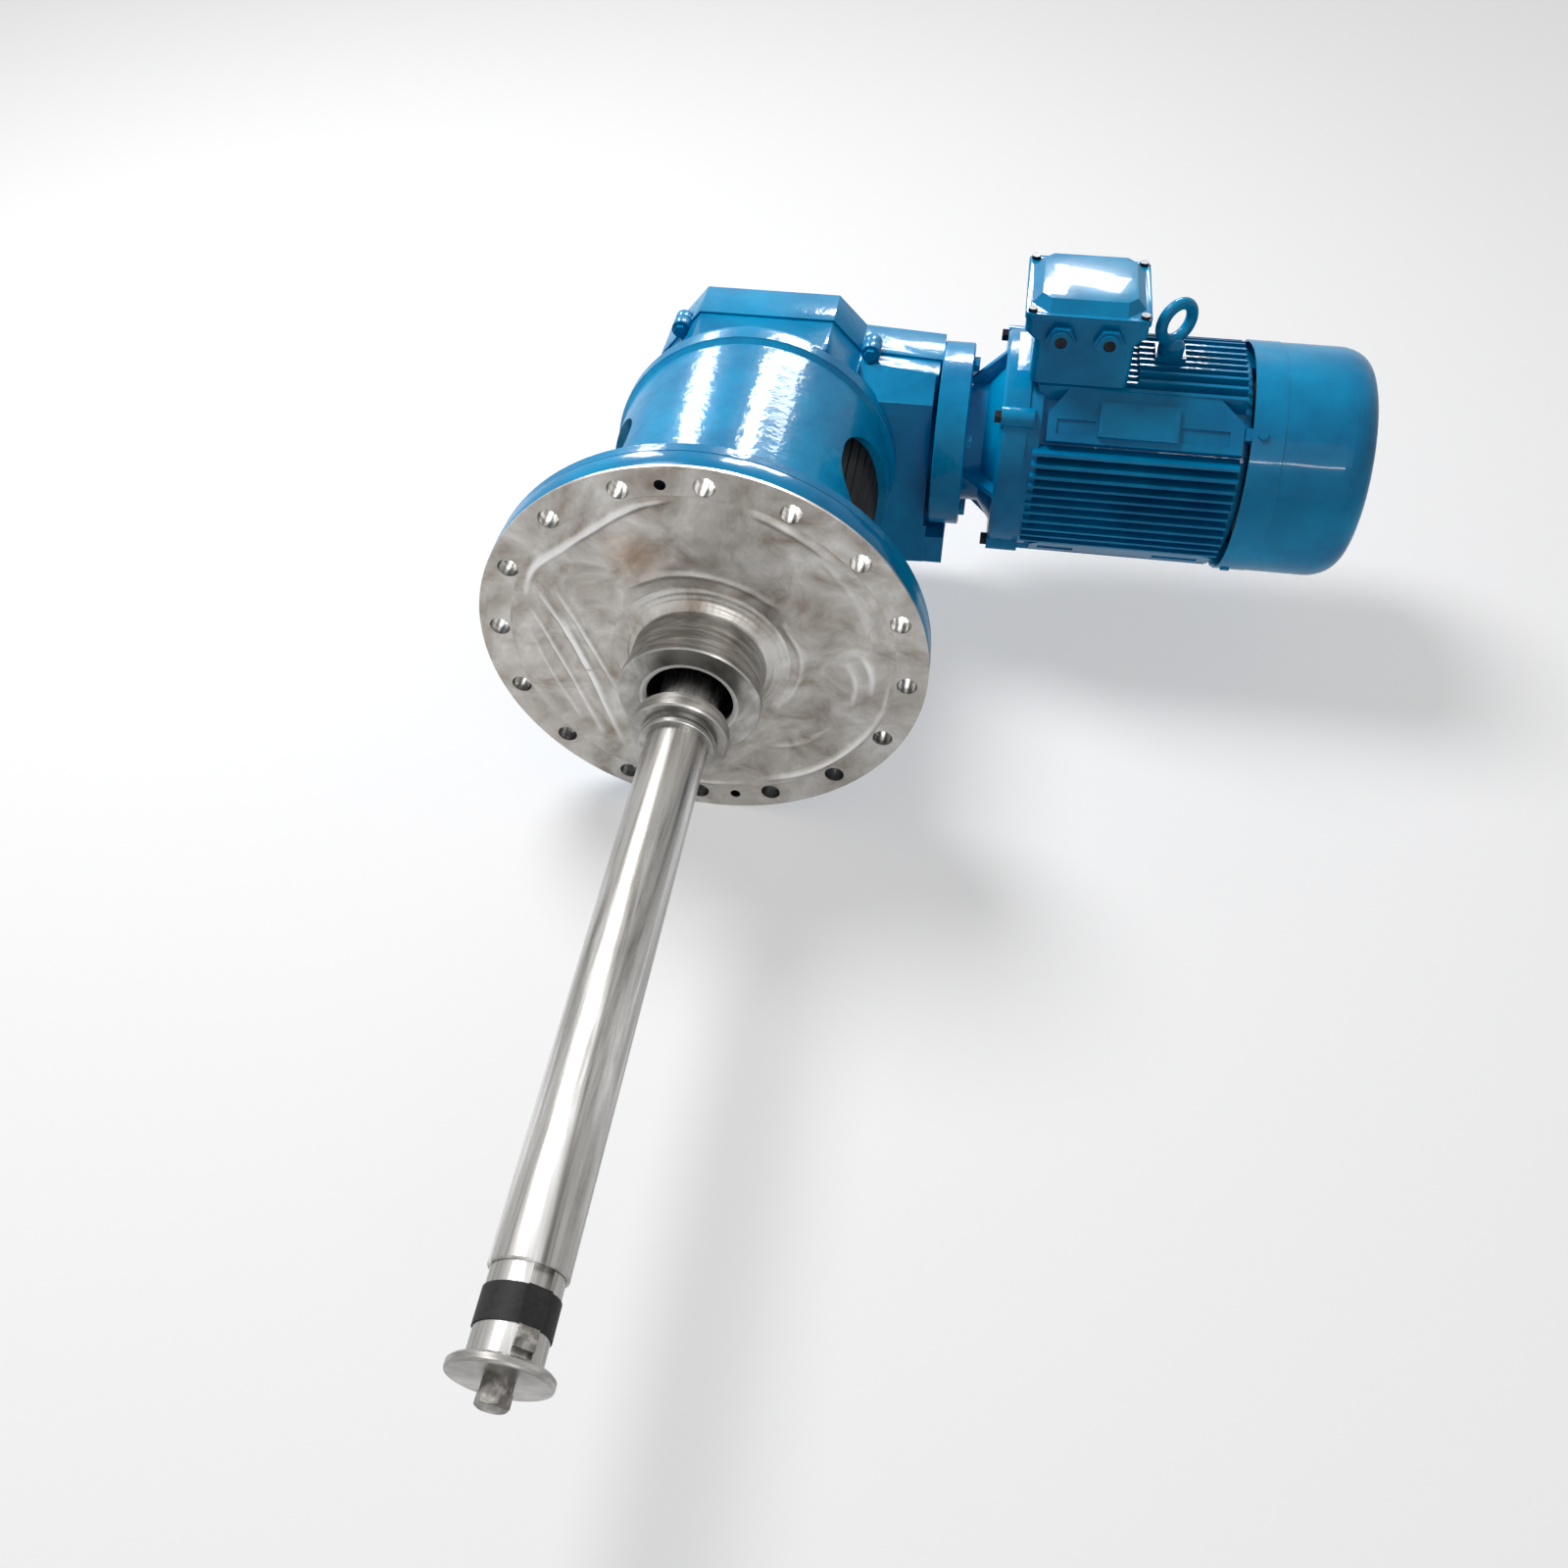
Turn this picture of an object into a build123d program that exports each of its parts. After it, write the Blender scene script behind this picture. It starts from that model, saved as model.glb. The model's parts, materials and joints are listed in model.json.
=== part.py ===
from build123d import *
import os
from math import acos, atan2, cos, degrees, hypot, pi, radians, sin, sqrt, tan

os.makedirs("parts", exist_ok=True)

# Side entry tank mixer. All sizes in mm.
# Origin: centre of the tank-side face of the mounting flange.
# The shaft runs along -Y into the tank, the motor lies along +X, +Z is up.

# ---- mounting flange (DN400 PN10) ----
FLANGE_R = 282.5
BOLT_EDGE = 25.0
BOLT_COUNT = 16
BOLT_HOLE_R = 13.0
BOLT_PHASE_DEG = 108.66
JACK_HOLE_R = 7.0
JACK_PHASE_DEG = 97.4
FACE_DISC_T = 4.0
MOUNT_FLANGE_T = 27.0
FLANGE_CHAMFER = 1.5

# ---- lantern (open pedestal) ----
LANTERN_R = 194.0
LANTERN_WALL = 12.0
LANTERN_FLANGE_T = 16.0
LANTERN_FLANGE_INSET = 1.0
LANTERN_LEN = 394.0
LANTERN_LIP_R = 200.0
LANTERN_LIP_T = 20.0
LANTERN_LIP_BORE_R = 150.0
LANTERN_FILLET = 14.0
LIP_SCREW_COUNT = 8
LIP_SCREW_R = 6.0
WINDOW_LEN = 180.0
WINDOW_HEIGHT = 266.0
WINDOW_CORNER_R = 80.0
WINDOW_SETBACK = 126.0
GUARD_T = 1.5
GUARD_MARGIN = 12.0
GUARD_SLOT = 3.0
GUARD_SLOT_COUNT = 14

# ---- seal neck and shut-off ----
NECK_R = 84.0
NECK_BORE_R = 66.0
NECK_LEN = 66.0
SEAT_RING_R = 88.0
SEAT_RING_T = 15.0
SEAT_BORE_R = 54.0
SEAT_BEVEL = 3.0
INSERT_W = 7.0
INSERT_DEPTH = 9.0
WELD_R = 110.0
WELD_H = 15.0
COLLAR_R = 59.0
COLLAR_GAP = 33.0
COLLAR_LEN = 31.0
COLLAR_LIP_R = 45.0
COLLAR_GROOVE = 2.5

# ---- mixer shaft ----
SHAFT_R = 37.2
SHOULDER_Y = -792.0
SEAT_R = 34.0
SEAT_LEN = 81.0
SHAFT_END_Y = 540.0
KEY_W = 20.0
KEY_H = 9.0
KEY_DEPTH = 7.5
KEY_LEN = 50.0
KEY_SETBACK = 10.0
KEY_ANGLE = 54.0
TAPE_T = 1.4
TAPE_W = 33.0
TAPE_SETBACK = 19.0
WASHER_R = 47.8
WASHER_T = 10.0
BOLT_R = 8.0
BOLT_AF = 27.0
BOLT_HEAD_H = 13.0
BOLT_LEN = 46.0
SPRING_WASHER_R = 14.0
SPRING_WASHER_T = 9.0

# ---- mechanical seal ----
SLEEVE_R = 46.0
SLEEVE_LEN = 135.0
SLEEVE_FRONT_Y = -20.0
SEAL_HOUSING_R = 96.0
SEAL_HOUSING_LEN = 60.0
SEAL_CHAMBER_R = 62.0
STATIONARY_T = 16.0
ROTATING_LEN = 30.0
SEAL_CLEAR = 1.0
GLAND_PCD = 160.0
GLAND_COUNT = 6
GLAND_BOLT_R = 6.0

# ---- general clearances ----
RUN_CLEAR = 0.3
SLIDE_CLEAR = 0.05
FACE_CLEAR = 0.3

# ---- gear train ----
SPUR_MODULE = 5.0
SPUR_PINION_COUNT = 17
SPUR_WHEEL_COUNT = 43
SPUR_WIDTH = 28.0
SPUR_FRONT = 23.0
INPUT_RISE = 8.0
INPUT_SETBACK = 80.0
BEVEL_MODULE = 4.0
BEVEL_PINION_COUNT = 15
BEVEL_WHEEL_COUNT = 31
BEVEL_TOE = 0.75
BEVEL_BACK_T = 12.0
BEVEL_BACK_INSET = 14.0
PRESSURE_ANGLE = 20.0
BACKLASH = 0.30
BEVEL_BACKLASH = 0.60
GEAR_CENTRES = SPUR_MODULE * (SPUR_PINION_COUNT + SPUR_WHEEL_COUNT) / 2

# ---- gearbox case ----
CASE_SPLIT = 75.0
CASE_DEPTH = 142.0
CASE_WALL = 12.0
CASE_TOP = 178.0
CASE_BOTTOM = -188.0
CASE_LEFT = -150.0
CASE_TOP_LEFT = -90.0
CASE_TOP_RIGHT = 98.0
CASE_ARM_X = 138.0
CASE_ARM_TOP = 136.0
CASE_END_X = 252.0
CASE_FOOT_X = 276.0
CASE_SPLIT_GROOVE = 3.0
CASE_STEP = 3.0
CASE_SCREW_R = 5.0
CASE_EAR_R = 13.0
CASE_EAR_T = 16.0
CASE_EAR_OUT = 5.0
CASE_SPOT_R = 11.0
CASE_SPOT_LEN = 12.0
CASE_HEAD_T = 7.0
ARM_SLOPE_H = 34.0
ARM_SLOPE_DEPTH = 50.0
FLANGE_RELIEF = 7.0
OUT_BEARING_R = 66.0
OUT_BEARING_W = 18.0
LAY_BEARING_R = 36.0
LAY_BEARING_W = 14.0
BOSS_WALL = 8.0
HOLLOW_R = 48.0
LAY_R = 20.0
LAY_JOURNAL_R = 17.5
COVER_T = 8.0
CAP_LEN = 33.0

# ---- input side ----
PINION_SHAFT_R = 20.0
INPUT_BEARING_R = 42.0
INPUT_BEARING_W = 16.0
INPUT_FLANGE_R = 128.0
INPUT_FLANGE_T = 42.0
INPUT_SPIGOT_R = 58.0
INPUT_SPIGOT_LEN = 20.0
INPUT_NECK_R = 91.0
INPUT_NECK_LEN = 44.0
INPUT_CAVITY_R = 70.0
INPUT_RIB_T = 8.0
INPUT_RIB_COUNT = 4
COUPLING_R = 38.0
COUPLING_LEN = 32.0

# ---- motor (IEC 160M) ----
MOTOR_SHIELD_LEN = 44.0
MOTOR_SHIELD_R = 150.0
MOTOR_FRAME_LEN = 275.0
MOTOR_DRUM_R = 138.0
MOTOR_BORE_R = 126.0
FIN_ENVELOPE_R = 157.0
FIN_FLAT = 152.0
FIN_PITCH = 14.5
FIN_T = 4.0
SIDE_FIN_COUNT = 11
TOP_FIN_COUNT = 11
PAD_D = 150.0
PAD_W = 64.0
PAD_RISE = 7.0
PAD_POCKET = 2.5
PLATE_X = 520.5
PLATE_LEN = 105.0
PLATE_H = 46.0
PLATE_T = 6.0
PAD_ANGLE = 46.7
SHAFT_MOTOR_R = 27.5
MOTOR_BEARING_R = 50.0
MOTOR_BEARING_W = 20.0
STATOR_LEN = 200.0
AIR_GAP = 1.5
ROTOR_R = 80.0
COWL_R = 158.5
COWL_WALL = 2.5
COWL_GAP = 9.0
COWL_BODY_LEN = 123.0
COWL_END_LEN = 41.0
COWL_END_R = 129.5
FAN_R = 118.0
FAN_W = 38.0
NDE_SHIELD_T = 12.0

# ---- terminal box and fittings ----
TBOX_X = 434.5
TBOX_LEN = 157.0
TBOX_WID = 150.0
TBOX_BASE_LEN = 129.0
TBOX_BASE_WID = 150.0
TBOX_BASE_Z = 150.0
TBOX_STEP_Z = 222.0
TBOX_TAPER = 12.0
TBOX_TOP_Z = 240.0
TBOX_WALL = 5.0
LID_RIM_T = 9.0
LID_RISE = 14.0
PLUG_AF = 35.0
PLUG_LEN = 13.0
PLUG_PITCH = 62.0
PLUG_Z = 217.0
EYE_X = 555.0
EYE_BASE_Z = 176.0
EYE_INNER_R = 17.5
EYE_BAR_R = 8.0
EYE_HEIGHT = 33.0
EYE_TURN = 38.0

# ---- derived stations ----
BOLT_PCD = 2 * (FLANGE_R - BOLT_EDGE)
LANTERN_Y0 = FACE_DISC_T + MOUNT_FLANGE_T
CASE_Y0 = LANTERN_Y0 + LANTERN_LEN
CASE_Y1 = CASE_Y0 + CASE_DEPTH
SPLIT_Y = CASE_Y0 + CASE_SPLIT
INPUT_Y = CASE_Y0 + INPUT_SETBACK
LAY_X = sqrt(GEAR_CENTRES ** 2 - INPUT_RISE ** 2)
LAY_ANGLE = atan2(INPUT_RISE, LAY_X)
SPUR_Y0 = CASE_Y0 + SPUR_FRONT
PITCH_RP = BEVEL_MODULE * BEVEL_PINION_COUNT / 2
PITCH_RW = BEVEL_MODULE * BEVEL_WHEEL_COUNT / 2
PINION_HEEL_X = LAY_X + PITCH_RW
WHEEL_HEEL_Y = INPUT_Y + PITCH_RP
INPUT_X0 = CASE_END_X + 1.0
INPUT_X1 = INPUT_X0 + INPUT_FLANGE_T
SHIELD_X0 = INPUT_X1 + INPUT_NECK_LEN
FRAME_X0 = SHIELD_X0 + MOTOR_SHIELD_LEN
FRAME_X1 = FRAME_X0 + MOTOR_FRAME_LEN
COWL_X0 = FRAME_X1 + COWL_GAP
COWL_X1 = COWL_X0 + COWL_BODY_LEN + COWL_END_LEN
SEAT_RING_Y = -NECK_LEN - SEAT_RING_T
COLLAR_Y1 = SEAT_RING_Y - COLLAR_GAP
COLLAR_Y0 = COLLAR_Y1 - COLLAR_LEN
SEAT_END_Y = SHOULDER_Y - SEAT_LEN
WASHER_Y0 = SEAT_END_Y - WASHER_T
SPRING_Y0 = WASHER_Y0 - SPRING_WASHER_T
HOLLOW_Y0 = CASE_Y0 - 14.0
HOLLOW_Y1 = CASE_Y1 - 5.0
OUT_FRONT_Y = CASE_Y0 + 3.0
OUT_REAR_Y = CASE_Y1 - OUT_BEARING_W - 5.0
LAY_FRONT_Y = CASE_Y0 + 6.0
LAY_REAR_Y = CASE_Y1 - LAY_BEARING_W - 3.0
COUPLING_X0 = SHIELD_X0 - COUPLING_LEN - 6.0
COUPLING_MID = COUPLING_X0 + COUPLING_LEN / 2


# ---------------------------------------------------------------- helpers
def cyl_y(r, y0, y1, x=0.0, z=0.0):
    return Pos(x, (y0 + y1) / 2, z) * Rot(X=-90) * Cylinder(r, y1 - y0)


def cyl_x(r, x0, x1, y=0.0, z=0.0):
    return Pos((x0 + x1) / 2, y, z) * Rot(Y=90) * Cylinder(r, x1 - x0)


def cyl_z(r, z0, z1, x=0.0, y=0.0):
    return Pos(x, y, (z0 + z1) / 2) * Cylinder(r, z1 - z0)


def block(x0, x1, y0, y1, z0, z1):
    return Pos((x0 + x1) / 2, (y0 + y1) / 2, (z0 + z1) / 2) * Box(x1 - x0, y1 - y0, z1 - z0)


def tube_y(r_out, r_in, y0, y1, x=0.0, z=0.0):
    return cyl_y(r_out, y0, y1, x, z) - cyl_y(r_in, y0 - 1, y1 + 1, x, z)


def tube_x(r_out, r_in, x0, x1, y=0.0, z=0.0):
    return cyl_x(r_out, x0, x1, y, z) - cyl_x(r_in, x0 - 1, x1 + 1, y, z)


def rev_y(points, x=0.0, z=0.0):
    face = make_face(Polyline(*[(r, y) for r, y in points], close=True))
    return Pos(x, 0, z) * revolve(face, Axis.Y)


def rev_x(points, y=0.0, z=0.0):
    face = make_face(Polyline(*[(x, r) for x, r in points], close=True))
    return Pos(0, y, z) * revolve(face, Axis.X)


def hex_y(af, y0, y1, x=0.0, z=0.0):
    prism = extrude(RegularPolygon(af / 2, 6, major_radius=False), y1 - y0)
    return Pos(x, y0, z) * Rot(X=-90) * prism


def hex_x(af, x0, x1, y=0.0, z=0.0):
    prism = extrude(RegularPolygon(af / 2, 6, major_radius=False), x1 - x0)
    return Pos(x0, y, z) * Rot(Y=90) * prism


def hex_z(af, z0, z1, x=0.0, y=0.0):
    return Pos(x, y, z0) * extrude(RegularPolygon(af / 2, 6, major_radius=False), z1 - z0)


def prism_y(points, y0, y1):
    """Polygon of (x, z) points drawn out along +Y."""
    face = make_face(Polyline(*[(px, 0, pz) for px, pz in points], close=True))
    return Pos(0, y0, 0) * extrude(face, y1 - y0, dir=(0, 1, 0))


def around_y(r, deg):
    return r * cos(radians(deg)), r * sin(radians(deg))


def around_motor(r, deg):
    """(y, z) at an angle from the -Y side of the motor axis upwards."""
    return INPUT_Y - r * cos(radians(deg)), INPUT_RISE + r * sin(radians(deg))


def solid(shape):
    return shape.solids()[0] if len(shape.solids()) == 1 else Compound(children=shape.solids())


# ------------------------------------------------------- flange and lantern
def flange_holes(y0, y1):
    tools = []
    for k in range(BOLT_COUNT):
        x, z = around_y(BOLT_PCD / 2, BOLT_PHASE_DEG - 360.0 * k / BOLT_COUNT)
        tools.append(cyl_y(BOLT_HOLE_R, y0 - 1, y1 + 1, x, z))
    for k in range(2):
        x, z = around_y(BOLT_PCD / 2, JACK_PHASE_DEG + 180.0 * k)
        tools.append(cyl_y(JACK_HOLE_R, y0 - 1, y1 + 1, x, z))
    return tools


def wetted_face_disc():
    disc = tube_y(FLANGE_R, NECK_R, 0, FACE_DISC_T)
    return disc - flange_holes(0, FACE_DISC_T)


def mounting_flange():
    c = FLANGE_CHAMFER
    y0 = FACE_DISC_T
    y1 = LANTERN_Y0
    profile = [(NECK_R, y0), (FLANGE_R, y0), (FLANGE_R, y1 - c), (FLANGE_R - c, y1), (NECK_R, y1)]
    return rev_y(profile) - flange_holes(y0, y1)


def lantern():
    y0 = LANTERN_Y0
    yf = y0 + LANTERN_FLANGE_T
    y1 = CASE_Y0
    rf = FLANGE_R - LANTERN_FLANGE_INSET
    ri = LANTERN_R - LANTERN_WALL
    f = LANTERN_FILLET
    c = FLANGE_CHAMFER
    outer = [(ri, y0), (rf - c, y0), (rf, y0 + c), (rf, yf - c), (rf - c, yf), (LANTERN_R + f, yf)]
    outer += [(LANTERN_R + f * (1 - sin(a)), yf + f * (1 - cos(a))) for a in (pi / 6, pi / 3)]
    outer += [(LANTERN_R, yf + f), (LANTERN_R, y1 - LANTERN_LIP_T - 6)]
    outer += [(LANTERN_LIP_R - 2, y1 - LANTERN_LIP_T), (LANTERN_LIP_R, y1 - LANTERN_LIP_T + 2)]
    outer += [(LANTERN_LIP_R, y1), (LANTERN_LIP_BORE_R, y1)]
    outer += [(LANTERN_LIP_BORE_R, y1 - LANTERN_LIP_T), (ri, y1 - LANTERN_LIP_T)]
    shell = rev_y(outer)
    wy = yf + WINDOW_SETBACK
    sketch = RectangleRounded(WINDOW_LEN, WINDOW_HEIGHT, WINDOW_CORNER_R)
    tool = Plane(origin=(0, wy + WINDOW_LEN / 2, 0), x_dir=(0, 1, 0), z_dir=(1, 0, 0)) * sketch
    cutter = extrude(tool, LANTERN_R + 10, both=True)
    shell = shell - cutter - flange_holes(y0, yf)
    places = [lip_screw(k) for k in range(LIP_SCREW_COUNT)]
    return shell - [cyl_y(LIP_SCREW_R, y1 - LANTERN_LIP_T - 1, y1 + 1, x, z) for x, z in places]


def window_guards():
    """Slotted sheet bent to the inside of the wall, one behind each window."""
    ri = LANTERN_R - LANTERN_WALL
    wy = LANTERN_Y0 + LANTERN_FLANGE_T + WINDOW_SETBACK
    hz = WINDOW_HEIGHT / 2 + GUARD_MARGIN
    sheet = tube_y(ri, ri - GUARD_T, wy - GUARD_MARGIN, wy + WINDOW_LEN + GUARD_MARGIN)
    sides = [sheet & block(0, ri + 5, wy - 50, wy + WINDOW_LEN + 50, -hz, hz)]
    sides += [sheet & block(-ri - 5, 0, wy - 50, wy + WINDOW_LEN + 50, -hz, hz)]
    span = degrees(atan2(hz - GUARD_MARGIN, ri))
    slots = []
    for k in range(GUARD_SLOT_COUNT):
        turn = span * (2 * k / (GUARD_SLOT_COUNT - 1) - 1)
        slot = block(-ri - 9, ri + 9, wy + 4, wy + WINDOW_LEN - 4, -GUARD_SLOT / 2, GUARD_SLOT / 2)
        slots.append(Rot(Y=turn) * slot)
    return Compound(children=[solid(side - slots) for side in sides])


def lip_screw(k):
    return around_y((LANTERN_LIP_BORE_R + LANTERN_R - LANTERN_WALL) / 2, 22.5 + 360.0 * k / LIP_SCREW_COUNT)


def lantern_screws():
    y1 = CASE_Y0 - LANTERN_LIP_T
    out = []
    for k in range(LIP_SCREW_COUNT):
        x, z = lip_screw(k)
        shank = cyl_y(LIP_SCREW_R, y1, CASE_Y0 + CASE_WALL, x, z)
        out.append(shank + hex_y(3 * LIP_SCREW_R, y1 - 8, y1, x, z))
    return Compound(children=[solid(s) for s in out])


# ------------------------------------------------------- neck, seal, shut-off
def seal_neck():
    return tube_y(NECK_R, NECK_BORE_R, -NECK_LEN, LANTERN_Y0)


def neck_weld():
    h = WELD_H
    w = WELD_R - NECK_R
    p = [(NECK_R, 0), (NECK_R, -h), (NECK_R + 0.22 * w, -0.66 * h), (NECK_R + 0.5 * w, -0.36 * h)]
    return rev_y(p + [(NECK_R + 0.8 * w, -0.2 * h), (WELD_R, -0.1 * h), (WELD_R, 0)])


def shutoff_seat_ring():
    y0 = SEAT_RING_Y
    r_in = SEAT_BORE_R + INSERT_W
    p = [(SEAT_BORE_R, -NECK_LEN), (SEAT_BORE_R, y0 + INSERT_DEPTH), (r_in, y0 + INSERT_DEPTH), (r_in, y0)]
    p += [(SEAT_RING_R - 2, y0), (SEAT_RING_R, y0 + 2), (SEAT_RING_R, -NECK_LEN - 2)]
    return rev_y(p + [(SEAT_RING_R - 2, -NECK_LEN)])


def seat_seal_insert():
    y0 = SEAT_RING_Y
    r_in, b = SEAT_BORE_R, SEAT_BEVEL
    p = [(r_in, y0 + INSERT_DEPTH), (r_in, y0 + b), (r_in + b, y0), (r_in + INSERT_W, y0)]
    return rev_y(p + [(r_in + INSERT_W, y0 + INSERT_DEPTH)])


def shutoff_collar():
    g = COLLAR_GROOVE
    y0, y1 = COLLAR_Y0, COLLAR_Y1
    rl, rc = COLLAR_LIP_R, COLLAR_R
    p = [(SHAFT_R, y0 - 12), (rl - 1, y0 - 12), (rl, y0 - 11), (rl, y0 - 6)]
    p += [(rl - g, y0 - 5), (rl - g, y0 - 3), (rl, y0 - 2), (rl, y0 + 1)]
    p += [(rc - 2, y0 + 1), (rc, y0 + 3), (rc, y1 - 13), (rc - 2, y1 - 11)]
    p += [(rc - 2, y1 - 8), (rc - 9, y1 - 8), (rc - 9, y1 - 2), (rc - 11, y1)]
    return rev_y(p + [(SHAFT_R, y1)])


def seal_housing():
    y0 = LANTERN_Y0
    y1 = y0 + SEAL_HOUSING_LEN
    flange_t = 18.0
    p = [(SEAL_CHAMBER_R, y0), (SEAL_HOUSING_R, y0), (SEAL_HOUSING_R, y0 + flange_t)]
    p += [(SEAL_CHAMBER_R + 10, y0 + flange_t), (SEAL_CHAMBER_R + 10, y1), (SEAL_CHAMBER_R, y1)]
    body = rev_y(p)
    return body - [cyl_y(GLAND_BOLT_R, y0 - 1, y0 + flange_t + 1, *gland(k)) for k in range(GLAND_COUNT)]


def gland(k):
    return around_y(GLAND_PCD / 2 + 6, 30 + 360.0 * k / GLAND_COUNT)


def gland_bolts():
    y1 = LANTERN_Y0 + 18.0
    out = []
    for k in range(GLAND_COUNT):
        x, z = gland(k)
        out.append(cyl_y(GLAND_BOLT_R, LANTERN_Y0, y1, x, z) + hex_y(3.0 * GLAND_BOLT_R, y1, y1 + 8, x, z))
    return Compound(children=[solid(s) for s in out])


def seal_stationary_face():
    return tube_y(NECK_BORE_R, SLEEVE_R + SEAL_CLEAR, LANTERN_Y0 - STATIONARY_T, LANTERN_Y0)


def seal_rotating_face():
    y0 = LANTERN_Y0 + FACE_CLEAR
    r = SEAL_CHAMBER_R - 3.0
    p = [(SLEEVE_R, y0), (r - 5, y0), (r - 5, y0 + 6), (r, y0 + 8), (r, y0 + ROTATING_LEN)]
    return rev_y(p + [(SLEEVE_R, y0 + ROTATING_LEN)])


def seal_sleeve():
    y0 = SLEEVE_FRONT_Y
    y1 = y0 + SLEEVE_LEN
    p = [(SHAFT_R, y0), (SLEEVE_R - 2, y0), (SLEEVE_R, y0 + 2), (SLEEVE_R, y1 - 16)]
    return rev_y(p + [(SLEEVE_R + 8, y1 - 14), (SLEEVE_R + 8, y1), (SHAFT_R, y1)])


# ------------------------------------------------------- shaft end
def key_box(y0, y1, w, r0, r1):
    return Rot(Y=-KEY_ANGLE) * block(r0, r1, y0, y1, -w / 2, w / 2)


def mixer_shaft():
    c = 1.5
    y1 = SHAFT_END_Y
    p = [(0, SEAT_END_Y), (SEAT_R - c, SEAT_END_Y), (SEAT_R, SEAT_END_Y + c), (SEAT_R, SHOULDER_Y)]
    p += [(SHAFT_R - c, SHOULDER_Y), (SHAFT_R, SHOULDER_Y + c)]
    p += [(SHAFT_R, y1 - c), (SHAFT_R - c, y1), (0, y1)]
    shaft = rev_y(p) - key_box(SEAT_END_Y - 1, SHOULDER_Y, KEY_W, SEAT_R - KEY_DEPTH, SEAT_R + 20)
    depth = SPRING_Y0 + BOLT_LEN
    return shaft - cyl_y(BOLT_R, SEAT_END_Y - 1, depth)


def propeller_key():
    r0 = SEAT_R - KEY_DEPTH
    y0 = SEAT_END_Y + KEY_SETBACK
    key = key_box(y0, y0 + KEY_LEN, KEY_W, r0, r0 + KEY_H)
    return key


def keyway_tape():
    y1 = SHOULDER_Y - TAPE_SETBACK
    y0 = y1 - TAPE_W
    r_key = SEAT_R - KEY_DEPTH + KEY_H
    band = cyl_y(SEAT_R + TAPE_T, y0, y1)
    band += key_box(y0, y1, KEY_W + 2 * TAPE_T, SEAT_R - 4, r_key + TAPE_T)
    band -= cyl_y(SEAT_R, y0 - 1, y1 + 1)
    return band - key_box(y0 - 1, y1 + 1, KEY_W, 0, r_key)


def retaining_washer():
    c = 2.5
    y0, y1 = WASHER_Y0, SEAT_END_Y
    p = [(BOLT_R, y0), (WASHER_R - c, y0), (WASHER_R - 0.7, y0 + 0.7), (WASHER_R, y0 + c)]
    return rev_y(p + [(WASHER_R, y1 - c), (WASHER_R - c, y1), (BOLT_R, y1)])


def spring_washer():
    ring = tube_y(SPRING_WASHER_R, BOLT_R, SPRING_Y0, WASHER_Y0)
    return ring - block(0, 30, SPRING_Y0 - 1, WASHER_Y0 + 1, -1.2, 1.2)


def retaining_bolt():
    y0 = SPRING_Y0 - BOLT_HEAD_H
    head = hex_y(BOLT_AF, y0, SPRING_Y0)
    cone = rev_y([(0, y0), (BOLT_AF / 2 - 1, y0), (BOLT_AF / 2 + 3, y0 + 2.3), (BOLT_AF, y0 + 2.3)]
                 + [(BOLT_AF, SPRING_Y0 + 1), (0, SPRING_Y0 + 1)])
    return (head & cone) + cyl_y(BOLT_R, SPRING_Y0 - 1, SPRING_Y0 + BOLT_LEN)


# ------------------------------------------------------- gears
def inv(a):
    return tan(a) - a


def half_thickness(r, r_pitch, module, thin):
    """Half angle of an involute tooth at radius r."""
    alpha = radians(PRESSURE_ANGLE)
    rb = r_pitch * cos(alpha)
    at_pitch = (pi * module / 2 - thin) / (2 * r_pitch)
    if r <= rb:
        return at_pitch + inv(alpha)
    return at_pitch + inv(alpha) - inv(acos(rb / r))


def tooth_levels(r_pitch, module):
    low = r_pitch - 1.25 * module
    high = r_pitch + module
    base = max(low + 0.25 * module, r_pitch * cos(radians(PRESSURE_ANGLE)))
    return [low] + [base + (high - base) * k / 4 for k in range(5)]


def spur_outline(teeth, module, phase):
    rp = module * teeth / 2
    pts = []
    for k in range(teeth):
        mid = phase + 2 * pi * k / teeth
        side = [(r, half_thickness(r, rp, module, BACKLASH)) for r in tooth_levels(rp, module)]
        pts += [(r * cos(mid - h), r * sin(mid - h)) for r, h in side]
        pts += [(r * cos(mid + h), r * sin(mid + h)) for r, h in reversed(side)]
    return pts


def spur_gear(teeth, phase, x, z, bore_r):
    gear = prism_y(spur_outline(teeth, SPUR_MODULE, phase), SPUR_Y0, SPUR_Y0 + SPUR_WIDTH)
    return Pos(x, 0, z) * (gear - cyl_y(bore_r, SPUR_Y0 - 1, SPUR_Y0 + SPUR_WIDTH + 1))


def bevel_rays(teeth, mate, phase):
    """Tooth corners as (cone angle tangent, angle) rays from the common apex."""
    rp = BEVEL_MODULE * teeth / 2
    cone = hypot(rp, BEVEL_MODULE * mate / 2)
    delta = atan2(teeth, mate)
    rv = rp / cos(delta)
    side = []
    for r in tooth_levels(rv, BEVEL_MODULE):
        t = r - rv
        h = half_thickness(r, rv, BEVEL_MODULE, BEVEL_BACKLASH)
        side.append((tan(delta + atan2(t, cone)), h * r / (rp + t * cos(delta))))
    rays = []
    for k in range(teeth):
        mid = phase + 2 * pi * k / teeth
        rays += [(t, mid - h) for t, h in side]
        rays += [(t, mid + h) for t, h in reversed(side)]
    return rays


def bevel_gear(teeth, mate, phase):
    """Bevel gear with its apex at the origin and its axis along +Z."""
    rays = bevel_rays(teeth, mate, phase)
    heel = BEVEL_MODULE * mate / 2
    faces = []
    for h in (heel * BEVEL_TOE, heel):
        pts = [(h * t * cos(a), h * t * sin(a), h) for t, a in rays]
        faces.append(make_face(Polyline(*pts, close=True)))
    return loft(faces, ruled=True)


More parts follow.
